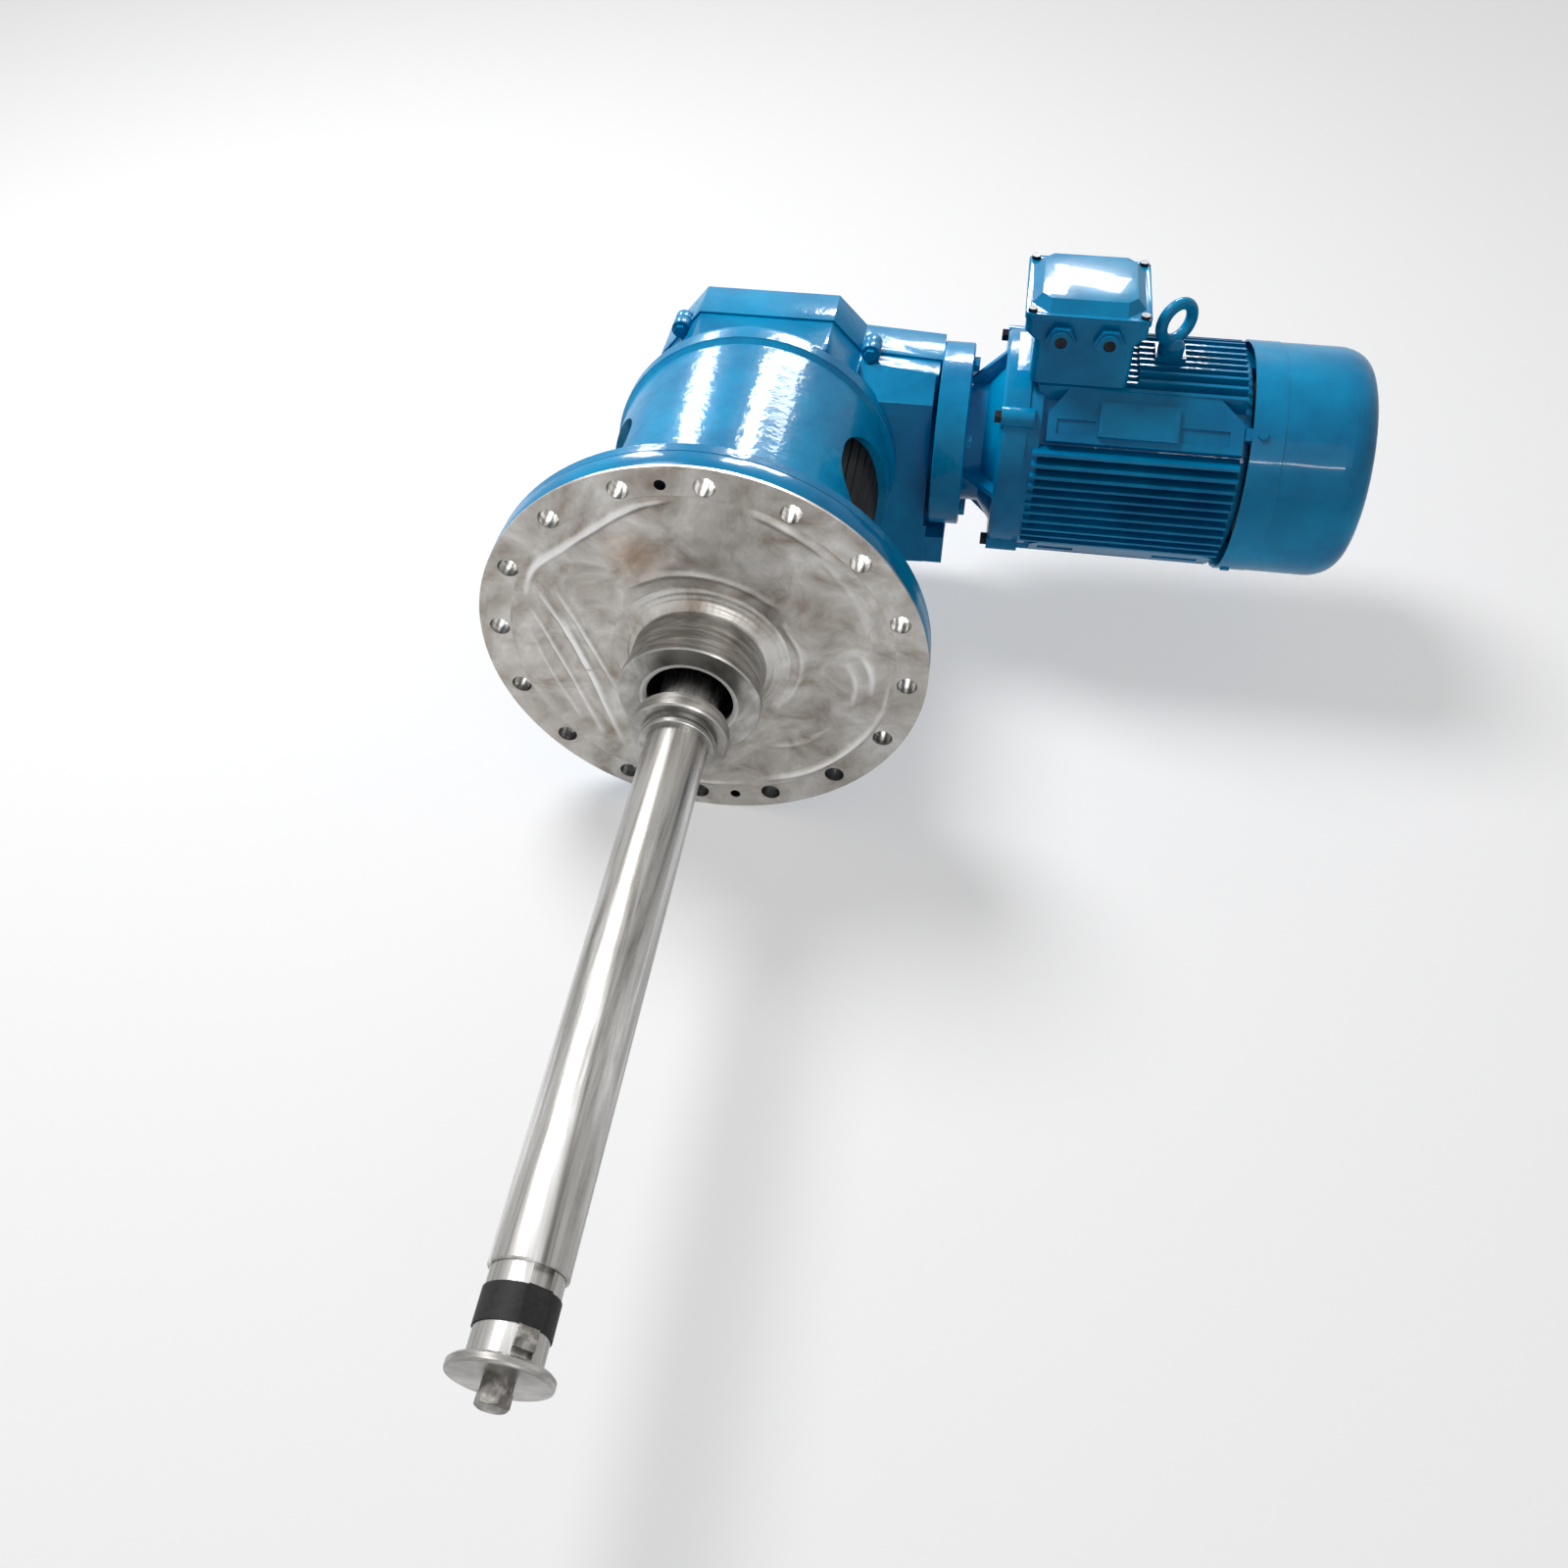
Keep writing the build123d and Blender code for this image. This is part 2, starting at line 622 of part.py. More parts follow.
def output_wheel():
    web = tube_y(92.0, 62.0, SPUR_Y0 - 1, SPUR_Y0 + 6)
    wheel = spur_gear(SPUR_WHEEL_COUNT, LAY_ANGLE, 0, 0, HOLLOW_R)
    rear = tube_y(92.0, 62.0, SPUR_Y0 + SPUR_WIDTH - 6, SPUR_Y0 + SPUR_WIDTH + 1)
    return wheel - web - rear


def pinion_phase():
    return LAY_ANGLE + pi + pi / SPUR_PINION_COUNT


def spur_pinion():
    return spur_gear(SPUR_PINION_COUNT, pinion_phase(), LAY_X, INPUT_RISE, LAY_R)


def bevel_wheel():
    gear = bevel_gear(BEVEL_WHEEL_COUNT, BEVEL_PINION_COUNT, 0.0)
    back = cyl_z(PITCH_RW - BEVEL_BACK_INSET, PITCH_RP - 1, PITCH_RP + BEVEL_BACK_T)
    gear = gear + back - cyl_z(LAY_R, 0, PITCH_RP + BEVEL_BACK_T + 1)
    return Pos(LAY_X, INPUT_Y, INPUT_RISE) * Rot(X=-90) * gear


def bevel_pinion_shaft():
    gear = bevel_gear(BEVEL_PINION_COUNT, BEVEL_WHEEL_COUNT, pi / 2 + pi / BEVEL_PINION_COUNT)
    gear = Pos(LAY_X, INPUT_Y, INPUT_RISE) * Rot(Y=90) * gear
    stem = cyl_x(PINION_SHAFT_R, PINION_HEEL_X - 2, COUPLING_MID - 0.5, INPUT_Y, INPUT_RISE)
    collar = cyl_x(PINION_SHAFT_R + 5, PINION_HEEL_X - 1, INPUT_X0 - INPUT_SPIGOT_LEN, INPUT_Y, INPUT_RISE)
    return gear + stem + collar


# ------------------------------------------------------- gearbox case
def case_outline(d):
    """Outline of the case, d mm inside the outer skin, as (x, z) points."""
    k = d * 0.45
    top = [(CASE_TOP_LEFT + k, CASE_TOP - d), (CASE_TOP_RIGHT - k, CASE_TOP - d)]
    arm = [(CASE_ARM_X - k, CASE_ARM_TOP - d), (CASE_END_X - d, CASE_ARM_TOP - 6 - d)]
    low = [(CASE_END_X - d, CASE_BOTTOM + 14 + d), (0, CASE_BOTTOM + d), (-70 + k, CASE_BOTTOM + d)]
    left = [(CASE_LEFT + d, -108 + k), (CASE_LEFT + d, 106 - k)]
    return top + arm + low + left


def case_foot(y0, y1):
    return block(CASE_END_X - 60, CASE_FOOT_X, y0 + 6, y1, CASE_BOTTOM + 16, INPUT_RISE - INPUT_FLANGE_R - 5)


def case_bolt_xz():
    """Screws of the split line, in ears that stand just outside the outline."""
    out = CASE_EAR_OUT
    top = [(CASE_TOP_LEFT - 25, CASE_TOP - 22), (CASE_ARM_X + 14, CASE_ARM_TOP + out - 1)]
    side = [(CASE_LEFT - out, 40), (CASE_LEFT - out, -60)]
    return top + side + [(40, CASE_BOTTOM + 2 - out), (CASE_END_X - 72, CASE_BOTTOM + 10 - out)]


def case_ears(y0, y1):
    return [cyl_y(CASE_EAR_R, y0, y1, x, z) for x, z in case_bolt_xz()]


def spot_faces(y0, y1):
    """Round seats cut into the wall, so that the screw heads clear it."""
    return [cyl_y(CASE_SPOT_R, y0, y1, x, z) for x, z in case_bolt_xz()]


def arm_slope(y0):
    """Wedge that slopes the front top edge of the arm beside the main case."""
    z1 = CASE_ARM_TOP
    z0 = z1 - ARM_SLOPE_H
    y1 = y0 + 5
    y2 = y1 + ARM_SLOPE_DEPTH
    side = [(y0 - 1, z0), (y1, z0), (y2, z1), (y2, z1 + 5), (y0 - 1, z1 + 5)]
    face = make_face(Polyline(*[(0, py, pz) for py, pz in side], close=True))
    return Pos(CASE_ARM_X, 0, 0) * extrude(face, CASE_FOOT_X - CASE_ARM_X, dir=(1, 0, 0))


def flange_relief(y0, y1):
    """Round recess that keeps the arm clear of the input flange."""
    x1 = CASE_END_X
    ring = cyl_x(INPUT_FLANGE_R + FLANGE_RELIEF, x1 - FLANGE_RELIEF, x1 + 50, INPUT_Y, INPUT_RISE)
    ring -= cyl_x(INPUT_SPIGOT_R + 14, x1 - 50, x1 + 60, INPUT_Y, INPUT_RISE)
    return ring & block(x1 - 50, x1 + 60, y0 - 1, y0 + 40, -400, 400)


def gearbox_front_case():
    y0, y1 = CASE_Y0, SPLIT_Y
    w = CASE_WALL
    body = prism_y(case_outline(CASE_STEP), y0 + 4, y1) - arm_slope(y0)
    body -= split_groove(y1 - CASE_SPLIT_GROOVE, y1 + 1)
    body += cyl_y(LANTERN_LIP_R - 3, y0, y0 + w)
    body += case_foot(y0, y1)
    body += case_ears(y1 - CASE_EAR_T, y1)
    body -= spot_faces(y1 - CASE_EAR_T - CASE_SPOT_LEN, y1 - CASE_EAR_T)
    cavity = prism_y(case_outline(w + CASE_STEP), y0 + w + 2, y1 + 1)
    body -= cavity - Pos(0, w, -w) * arm_slope(y0) - Pos(0, w, -w / 2) * arm_slope(y0)
    body += cyl_y(OUT_BEARING_R + BOSS_WALL, y0, OUT_FRONT_Y + OUT_BEARING_W)
    body += cyl_y(LAY_BEARING_R + BOSS_WALL, y0, LAY_FRONT_Y + LAY_BEARING_W, LAY_X, INPUT_RISE)
    body -= cyl_y(OUT_BEARING_R, OUT_FRONT_Y, SPLIT_Y)
    body -= cyl_y(HOLLOW_R + 1.5, y0 - 1, SPLIT_Y)
    body -= cyl_y(LAY_BEARING_R, LAY_FRONT_Y, SPLIT_Y, LAY_X, INPUT_RISE)
    body -= cyl_x(INPUT_SPIGOT_R, CASE_END_X - 30, CASE_END_X + 40, INPUT_Y, INPUT_RISE)
    body -= flange_relief(y0, y1)
    body -= [cyl_y(LIP_SCREW_R, y0 - 1, y0 + w, *lip_screw(k)) for k in range(LIP_SCREW_COUNT)]
    body -= [cyl_y(CASE_SCREW_R, y1 - 30, y1 + 1, x, z) for x, z in case_bolt_xz()]
    return body


def split_groove(y0, y1):
    g = CASE_SPLIT_GROOVE
    return prism_y(case_outline(-60), y0, y1) - prism_y(case_outline(g), y0 - 1, y1 + 1)


def gearbox_rear_case():
    y0, y1 = SPLIT_Y, CASE_Y1
    w = CASE_WALL
    body = prism_y(case_outline(0), y0, y1)
    body += case_foot(y0 - 6, y1)
    body += case_ears(y0, y0 + CASE_EAR_T)
    body -= spot_faces(y0 + CASE_EAR_T, y0 + CASE_EAR_T + CASE_SPOT_LEN)
    body -= prism_y(case_outline(w), y0 - 1, y1 - w)
    body += cyl_y(OUT_BEARING_R + BOSS_WALL, OUT_REAR_Y, y1)
    body += cyl_y(LAY_BEARING_R + BOSS_WALL, LAY_REAR_Y, y1, LAY_X, INPUT_RISE)
    body -= cyl_y(OUT_BEARING_R, y0, y1 + 1)
    body -= cyl_y(LAY_BEARING_R, y0, y1 + 1, LAY_X, INPUT_RISE)
    body -= cyl_x(INPUT_SPIGOT_R, CASE_END_X - 30, CASE_END_X + 40, INPUT_Y, INPUT_RISE)
    body -= [cyl_y(CASE_SCREW_R, y0 - 1, y0 + 30, x, z) for x, z in case_bolt_xz()]
    return body - oil_plug_stems()


def case_screws():
    out = []
    for x, z in case_bolt_xz():
        y0, y1 = SPLIT_Y - CASE_EAR_T, SPLIT_Y + CASE_EAR_T
        screw = cyl_y(CASE_SCREW_R, y0, y1, x, z)
        screw += hex_y(16, y0 - CASE_HEAD_T, y0, x, z)
        out.append(screw + hex_y(16, y1, y1 + CASE_HEAD_T, x, z))
    return Compound(children=[solid(s) for s in out])


def output_bearings():
    rings = []
    for y0 in (OUT_FRONT_Y, OUT_REAR_Y):
        rings.append(tube_y(OUT_BEARING_R, HOLLOW_R + RUN_CLEAR, y0, y0 + OUT_BEARING_W))
    return Compound(children=[solid(s) for s in rings])


def layshaft_bearings():
    rings = []
    for y0 in (LAY_FRONT_Y, LAY_REAR_Y):
        r = LAY_JOURNAL_R + RUN_CLEAR
        rings.append(tube_y(LAY_BEARING_R, r, y0, y0 + LAY_BEARING_W, LAY_X, INPUT_RISE))
    return Compound(children=[solid(s) for s in rings])


def output_rear_cover():
    y0 = CASE_Y1
    r = OUT_BEARING_R + BOSS_WALL + 6
    cap = cyl_y(r, y0, y0 + COVER_T) + cyl_y(OUT_BEARING_R, y0, y0 + CAP_LEN)
    return cap - cyl_y(OUT_BEARING_R - 7, y0 - 1, y0 + CAP_LEN - 7)


def layshaft_rear_cover():
    y0 = CASE_Y1
    cap = cyl_y(LAY_BEARING_R + BOSS_WALL, y0, y0 + COVER_T, LAY_X, INPUT_RISE)
    return cap + hex_y(20, y0 + COVER_T, y0 + COVER_T + 5, LAY_X, INPUT_RISE)


def oil_plug_xz():
    """Filler, level and drain, all on the back of the case."""
    filler = (CASE_TOP_LEFT + 40, CASE_TOP - 34)
    level = (CASE_LEFT + 40, 10)
    drain = (CASE_TOP_LEFT + 30, CASE_BOTTOM + 38)
    return [filler, level, drain]


def oil_plug_stems():
    return [cyl_y(9, CASE_Y1 - 10, CASE_Y1, x, z) for x, z in oil_plug_xz()]


def oil_plugs():
    heads = [hex_y(22, CASE_Y1, CASE_Y1 + 10, x, z) for x, z in oil_plug_xz()]
    return Compound(children=[solid(stem + head) for stem, head in zip(oil_plug_stems(), heads)])


def output_hollow_shaft():
    return tube_y(HOLLOW_R, SHAFT_R + SLIDE_CLEAR, HOLLOW_Y0, HOLLOW_Y1)


def layshaft():
    x, z = LAY_X, INPUT_RISE
    ya, yb = LAY_FRONT_Y + 1, LAY_FRONT_Y + LAY_BEARING_W + 1
    p = [(0, ya), (LAY_JOURNAL_R, ya), (LAY_JOURNAL_R, yb)]
    p += [(LAY_R, LAY_FRONT_Y + LAY_BEARING_W + 1), (LAY_R, LAY_REAR_Y - 1), (LAY_JOURNAL_R, LAY_REAR_Y - 1)]
    return rev_y(p + [(LAY_JOURNAL_R, LAY_REAR_Y + LAY_BEARING_W), (0, LAY_REAR_Y + LAY_BEARING_W)], x, z)


# ------------------------------------------------------- input side
def input_flange():
    y, z = INPUT_Y, INPUT_RISE
    x0, x1, x2 = INPUT_X0, INPUT_X1, SHIELD_X0
    rs, rf, rn = INPUT_SPIGOT_R, INPUT_FLANGE_R, INPUT_NECK_R
    bx = x1 - 8
    xs = x0 - INPUT_SPIGOT_LEN
    p = [(xs, INPUT_BEARING_R), (xs, rs), (x0 - 1, rs), (x0 - 1, rf - 2)]
    p += [(x0 + 1, rf), (x1 - 2, rf), (x1, rf - 2), (x1, rn), (x2 - 20, rn), (x2, rn + 27)]
    p += [(x2, INPUT_CAVITY_R), (bx, INPUT_CAVITY_R), (bx, INPUT_BEARING_R)]
    body = rev_x(p, y, z)
    for k in range(INPUT_RIB_COUNT):
        web = [(x1, rn - 4), (x1, rn + 4), (x2, rf + 12), (x2, rn - 4)]
        rib = prism_y(web, -INPUT_RIB_T / 2, INPUT_RIB_T / 2)
        body += Pos(0, y, z) * Rot(X=360.0 * k / INPUT_RIB_COUNT) * rib
    return body - [cyl_x(5, x0 - 2, x1 + 1, *input_screw_yz(k)) for k in range(6)]


def input_screw_yz(k):
    return around_motor(INPUT_FLANGE_R - 14, 30 + 60.0 * k)


def input_flange_screws():
    out = []
    for k in range(6):
        y, z = input_screw_yz(k)
        out.append(cyl_x(5, CASE_END_X, INPUT_X1, y, z) + hex_x(17, INPUT_X1, INPUT_X1 + 8, y, z))
    return Compound(children=[solid(s) for s in out])


def input_bearings():
    rings = []
    for x0 in (INPUT_X0 - INPUT_SPIGOT_LEN + 2, INPUT_X1 - 8 - INPUT_BEARING_W):
        r = PINION_SHAFT_R + RUN_CLEAR
        rings.append(tube_x(INPUT_BEARING_R, r, x0, x0 + INPUT_BEARING_W, INPUT_Y, INPUT_RISE))
    return Compound(children=[solid(s) for s in rings])


def coupling():
    y, z = INPUT_Y, INPUT_RISE
    x0, x1 = COUPLING_X0, COUPLING_X0 + COUPLING_LEN
    body = cyl_x(COUPLING_R, x0, x1, y, z)
    groove = cyl_x(COUPLING_R, COUPLING_MID - 1.5, COUPLING_MID + 1.5, y, z)
    body -= groove - cyl_x(COUPLING_R - 3, x0, x1, y, z)
    body -= cyl_x(PINION_SHAFT_R, x0 - 1, COUPLING_MID, y, z)
    return body - cyl_x(SHAFT_MOTOR_R, COUPLING_MID, x1 + 1, y, z)


# ------------------------------------------------------- motor
def drive_end_shield():
    y, z = INPUT_Y, INPUT_RISE
    x0, x1 = SHIELD_X0, FRAME_X0
    r = MOTOR_SHIELD_R
    hub = MOTOR_BEARING_R + 8
    p = [(x0, SHAFT_MOTOR_R + 3), (x0, r - 4), (x0 + 4, r), (x1 - 8, r), (x1 - 8, r - 3), (x1, r - 3)]
    p += [(x1, MOTOR_BORE_R), (x0 + 12, MOTOR_BORE_R - 14), (x0 + 12, hub), (x1 - 6, hub)]
    body = rev_x(p + [(x1 - 6, MOTOR_BEARING_R), (x1 - 6 - MOTOR_BEARING_W, MOTOR_BEARING_R)]
                 + [(x1 - 6 - MOTOR_BEARING_W, SHAFT_MOTOR_R + 3)], y, z)
    for k in range(4):
        ly, lz = around_motor(r - 4, 45 + 90 * k)
        body += cyl_x(14, x0, x1, ly, lz)
    for k in range(4):
        ly, lz = around_motor(r - 4, 45 + 90 * k)
        body -= cyl_x(5, x0 - 1, x1 + 1, ly, lz)
    return body - tbox_seat_cut()


def tbox_seat_cut():
    hx, hy = TBOX_LEN / 2 + 2, TBOX_WID / 2 + 2
    y = INPUT_Y
    return block(TBOX_X - hx, TBOX_X + hx, y - hy, y + hy, TBOX_BASE_Z, TBOX_TOP_Z)


def shield_screws():
    out = []
    for k in range(4):
        y, z = around_motor(MOTOR_SHIELD_R - 4, 45 + 90 * k)
        x0 = SHIELD_X0
        out.append(cyl_x(5, x0, FRAME_X0, y, z) + hex_x(16, x0 - 9, x0, y, z))
    return Compound(children=[solid(s) for s in out])


def fin_envelope():
    y, z = INPUT_Y, INPUT_RISE
    x0, x1 = FRAME_X0, FRAME_X1
    f = FIN_FLAT
    return cyl_x(FIN_ENVELOPE_R, x0, x1, y, z) & block(x0, x1, y - f, y + f, z - f, z + f)


def motor_frame():
    y, z = INPUT_Y, INPUT_RISE
    x0, x1 = FRAME_X0, FRAME_X1
    half = FIN_T / 2
    reach = FIN_ENVELOPE_R + 5
    fins = []
    for k in range(SIDE_FIN_COUNT):
        fz = z + FIN_PITCH * (k - (SIDE_FIN_COUNT - 1) / 2)
        fins.append(block(x0 + 2, x1, y - reach, y + reach, fz - half, fz + half))
    for k in range(TOP_FIN_COUNT):
        fy = y + FIN_PITCH * (k - (TOP_FIN_COUNT - 1) / 2)
        fins.append(block(x0 + 2, x1, fy - half, fy + half, z - reach, z + reach))
    ribs = Part() + fins
    ribs = ribs & fin_envelope()
    drum = cyl_x(MOTOR_DRUM_R, x0, x1, y, z)
    body = drum + ribs
    for a in (PAD_ANGLE, 180 - PAD_ANGLE, PAD_ANGLE - 90 + 1, 270 - PAD_ANGLE - 1):
        body += frame_pad(a)
    body += tube_x(MOTOR_SHIELD_R - 3, MOTOR_BORE_R, x0, x0 + 10, y, z)
    bx0, bx1 = TBOX_X - TBOX_BASE_LEN / 2 + 4, TBOX_X + TBOX_BASE_LEN / 2 - 4
    hw = TBOX_BASE_WID / 2 - 4
    body += block(max(bx0, x0), bx1, y - hw, y + hw, z + 100, TBOX_BASE_Z)
    body += block(EYE_X - 20, EYE_X + 20, y - 18, y + 18, z + 110, EYE_BASE_Z - 10)
    body += cyl_z(EYE_INNER_R, z + 110, EYE_BASE_Z, EYE_X, y)
    body -= cyl_x(MOTOR_BORE_R, x0 - 1, x1 + 1, y, z)
    body -= tbox_seat_cut()
    return body - cyl_z(8, EYE_BASE_Z - 24, EYE_BASE_Z + 1, EYE_X, y)


def frame_pad(deg):
    """Flat pad along the frame with cut corners and two shallow pockets."""
    x0, x1 = FRAME_X0, FRAME_X1
    low, high = -PAD_W / 2, PAD_W / 2 + PAD_RISE
    face = [(x0 + 18, low), (x1, low), (x1, 8), (x1 - 34, high), (x0 + 42, high), (x0 + 18, 5)]
    flat = make_face(Polyline(*[(px, 0, pw) for px, pw in face], close=True))
    pad = extrude(flat, PAD_D - MOTOR_BORE_R - 4, dir=(0, -1, 0))
    depth = MOTOR_BORE_R + 4 - PAD_D + PAD_POCKET
    for a, b in ((x0 + 30, PLATE_X - PLATE_LEN / 2 - 4), (PLATE_X + PLATE_LEN / 2 + 4, x1 - 18)):
        pad -= block(a, b, depth - PAD_POCKET - 1, depth, low + 10, low + 30)
    if deg > 90 or deg < -90:
        pad = mirror(pad, Plane.XY)
    return Pos(0, INPUT_Y, INPUT_RISE) * Rot(X=-deg) * Pos(0, -(MOTOR_BORE_R + 4), 0) * pad


def nameplate():
    x0, x1 = PLATE_X - PLATE_LEN / 2, PLATE_X + PLATE_LEN / 2
    h = PLATE_H / 2
    plate = block(x0, x1, -PAD_D - PLATE_T, -PAD_D, -h, h)
    for x in (x0 + 5, x1 - 5):
        for z in (5 - h, h - 5):
            plate += cyl_y(2, -PAD_D - PLATE_T - 0.8, -PAD_D - PLATE_T, x, z)
    return Pos(0, INPUT_Y, INPUT_RISE) * Rot(X=-PAD_ANGLE) * plate


def stator_mid():
    return (FRAME_X0 + FRAME_X1) / 2


def stator_core():
    m = stator_mid()
    r_in = ROTOR_R + AIR_GAP
    core = tube_x(MOTOR_BORE_R, r_in, m - STATOR_LEN / 2, m + STATOR_LEN / 2, INPUT_Y, INPUT_RISE)
    return core


def stator_windings():
    m = stator_mid()
    rings = []
    for s in (-1, 1):
        a = m + s * STATOR_LEN / 2
        b = m + s * (STATOR_LEN / 2 + 22)
        rings.append(tube_x(MOTOR_BORE_R - 8, ROTOR_R + 8, min(a, b), max(a, b), INPUT_Y, INPUT_RISE))
    return Compound(children=[solid(s) for s in rings])


def nde_shield():
    y, z = INPUT_Y, INPUT_RISE
    x0 = FRAME_X1
    hub = MOTOR_BEARING_R + 7
    t = NDE_SHIELD_T
    p = [(x0, hub), (x0, MOTOR_DRUM_R - 2), (x0 + t - 3, MOTOR_DRUM_R - 2), (x0 + t, MOTOR_DRUM_R - 8)]
    p += [(x0 + t, SHAFT_MOTOR_R + 3), (x0 + 6, SHAFT_MOTOR_R + 3), (x0 + 6, MOTOR_BEARING_R)]
    body = rev_x(p + [(x0 - 16, MOTOR_BEARING_R), (x0 - 16, hub)], y, z)
    lug = block(x0 + 1, x0 + 30, -8, 8, MOTOR_DRUM_R - 16, COWL_R - COWL_WALL)
    cut = tube_x(COWL_R + 20, COWL_R - COWL_WALL, x0 - 1, x0 + 40)
    for k in range(4):
        body += Pos(0, y, z) * Rot(X=45 + 90 * k) * (lug - cut)
    for k in range(4):
        body -= Pos(0, y, z) * Rot(X=45 + 90 * k) * cyl_z(3, MOTOR_DRUM_R - 4, COWL_R, x0 + 22)
    return body


def motor_bearings():
    rings = []
    for x0 in (FRAME_X0 - 6 - MOTOR_BEARING_W, FRAME_X1 + 6 - MOTOR_BEARING_W):
        r = SHAFT_MOTOR_R + RUN_CLEAR
        rings.append(tube_x(MOTOR_BEARING_R, r, x0, x0 + MOTOR_BEARING_W, INPUT_Y, INPUT_RISE))
    return Compound(children=[solid(s) for s in rings])


def motor_shaft():
    x1 = COWL_X0 + 70
    return cyl_x(SHAFT_MOTOR_R, COUPLING_MID + 0.5, x1, INPUT_Y, INPUT_RISE)


def rotor_core():
    m = stator_mid()
    return tube_x(ROTOR_R, SHAFT_MOTOR_R, m - STATOR_LEN / 2, m + STATOR_LEN / 2, INPUT_Y, INPUT_RISE)


def cooling_fan():
    x0 = COWL_X0 + 26
    x1 = x0 + FAN_W
    body = cyl_x(SHAFT_MOTOR_R + 10, x0, x1, 0, 0) + cyl_x(FAN_R - 8, x0, x0 + 4, 0, 0)
    for k in range(9):
        body += Rot(X=40 * k) * block(x0, x1 - 4, -2, 2, SHAFT_MOTOR_R + 5, FAN_R)
    return Pos(0, INPUT_Y, INPUT_RISE) * (body - cyl_x(SHAFT_MOTOR_R, x0 - 1, x1 + 1))


def fan_cowl():
    t = COWL_WALL
    x0, x1 = COWL_X0, COWL_X1
    xs = x1 - COWL_END_LEN
    r = COWL_R
    drop = r - 0.8 - COWL_END_R
    p = [(x0, r - t), (x0, r), (x0 + 42, r), (x0 + 43, r - 0.8)]
    inner = []
    for k in range(9):
        a = k * pi / 16
        px, pr = xs + (x1 - xs) * sin(a), COWL_END_R + drop * cos(a)
        p.append((px, pr))
        inner.append((px - t * sin(a), pr - t * max(cos(a), 0.6)))
    body = rev_x(p + [(x1, 0), (x1 - t, 0)] + inner[::-1] + [(x0 + 42, r - t)])
    for count, r0, r1 in ((12, 20, 48), (24, 54, 84), (36, 90, 120)):
        for k in range(count):
            slot = block(x1 - 6, x1 + 1, -2.6, 2.6, r0, r1)
            body -= Rot(X=360.0 * k / count) * slot
    for k in range(4):
        body -= Rot(X=45 + 90 * k) * cyl_z(3, r - 8, r + 5, FRAME_X1 + 22)
    return Pos(0, INPUT_Y, INPUT_RISE) * body


def cowl_screws():
    out = []
    for k in range(4):
        screw = cyl_z(3, MOTOR_DRUM_R - 4, COWL_R, FRAME_X1 + 22)
        screw += cyl_z(6.5, COWL_R, COWL_R + 3, FRAME_X1 + 22)
        out.append(Pos(0, INPUT_Y, INPUT_RISE) * Rot(X=45 + 90 * k) * screw)
    return Compound(children=[solid(s) for s in out])


# ------------------------------------------------------- terminal box
def tbox_rect(lx, wy, z, r):
    return Pos(TBOX_X, INPUT_Y, z) * RectangleRounded(lx, wy, r)


def terminal_box():
    w = TBOX_WALL
    top = extrude(tbox_rect(TBOX_LEN, TBOX_WID, TBOX_STEP_Z, 9), TBOX_TOP_Z - TBOX_STEP_Z)
    waist = tbox_rect(TBOX_BASE_LEN, TBOX_BASE_WID, TBOX_STEP_Z - TBOX_TAPER, 9)
    low_h = TBOX_STEP_Z - TBOX_TAPER - TBOX_BASE_Z
    low = extrude(tbox_rect(TBOX_BASE_LEN, TBOX_BASE_WID, TBOX_BASE_Z, 9), low_h)
    mid = loft([waist, tbox_rect(TBOX_LEN, TBOX_WID, TBOX_STEP_Z, 9)])
    body = top + low + mid
    inner = extrude(tbox_rect(TBOX_BASE_LEN - 2 * w, TBOX_BASE_WID - 2 * w, TBOX_BASE_Z + w, 6), TBOX_TOP_Z)
    upper = extrude(tbox_rect(TBOX_LEN - 2 * w, TBOX_WID - 2 * w, TBOX_STEP_Z + w, 6), TBOX_TOP_Z)
    body = body - inner - upper
    for x, y in lid_screw_xy():
        body += cyl_z(6, TBOX_STEP_Z + w, TBOX_TOP_Z, x, y)
    body -= [cyl_z(2.5, TBOX_TOP_Z - 16, TBOX_TOP_Z + 1, x, y) for x, y in lid_screw_xy()]
    y0 = INPUT_Y - TBOX_WID / 2
    return body - [cyl_y(10, y0 - 1, y0 + w + 1, x, PLUG_Z) for x in plug_x()]


def plug_x():
    return [TBOX_X - PLUG_PITCH / 2, TBOX_X + PLUG_PITCH / 2]


def lid_screw_xy():
    dx, dy = TBOX_LEN / 2 - 7, TBOX_WID / 2 - 7
    return [(TBOX_X + a * dx, INPUT_Y + b * dy) for a in (-1, 1) for b in (-1, 1)]


def octagon(lx, wy, cut, z):
    a, b = lx / 2, wy / 2
    back = [(a, b - cut), (a - cut, b), (cut - a, b), (-a, b - cut)]
    pts = back + [(-u, -v) for u, v in back]
    return make_face(Polyline(*[(TBOX_X + px, INPUT_Y + py, z) for px, py in pts], close=True))


def terminal_box_lid():
    z0 = TBOX_TOP_Z
    z1 = z0 + LID_RIM_T
    rim = extrude(tbox_rect(TBOX_LEN + 4, TBOX_WID + 4, z0, 10), LID_RIM_T)
    foot = octagon(TBOX_LEN - 10, TBOX_WID - 8, 24, z1 - 0.5)
    crown = loft([foot, octagon(TBOX_LEN - 36, TBOX_WID - 34, 12, z1 + LID_RISE)], ruled=True)
    lid = rim + crown
    lid -= extrude(tbox_rect(TBOX_LEN - 46, TBOX_WID - 44, z0 - 1, 8), LID_RIM_T + LID_RISE - 5)
    return lid - [cyl_z(3, z0 - 1, z1 + 20, x, y) for x, y in lid_screw_xy()]


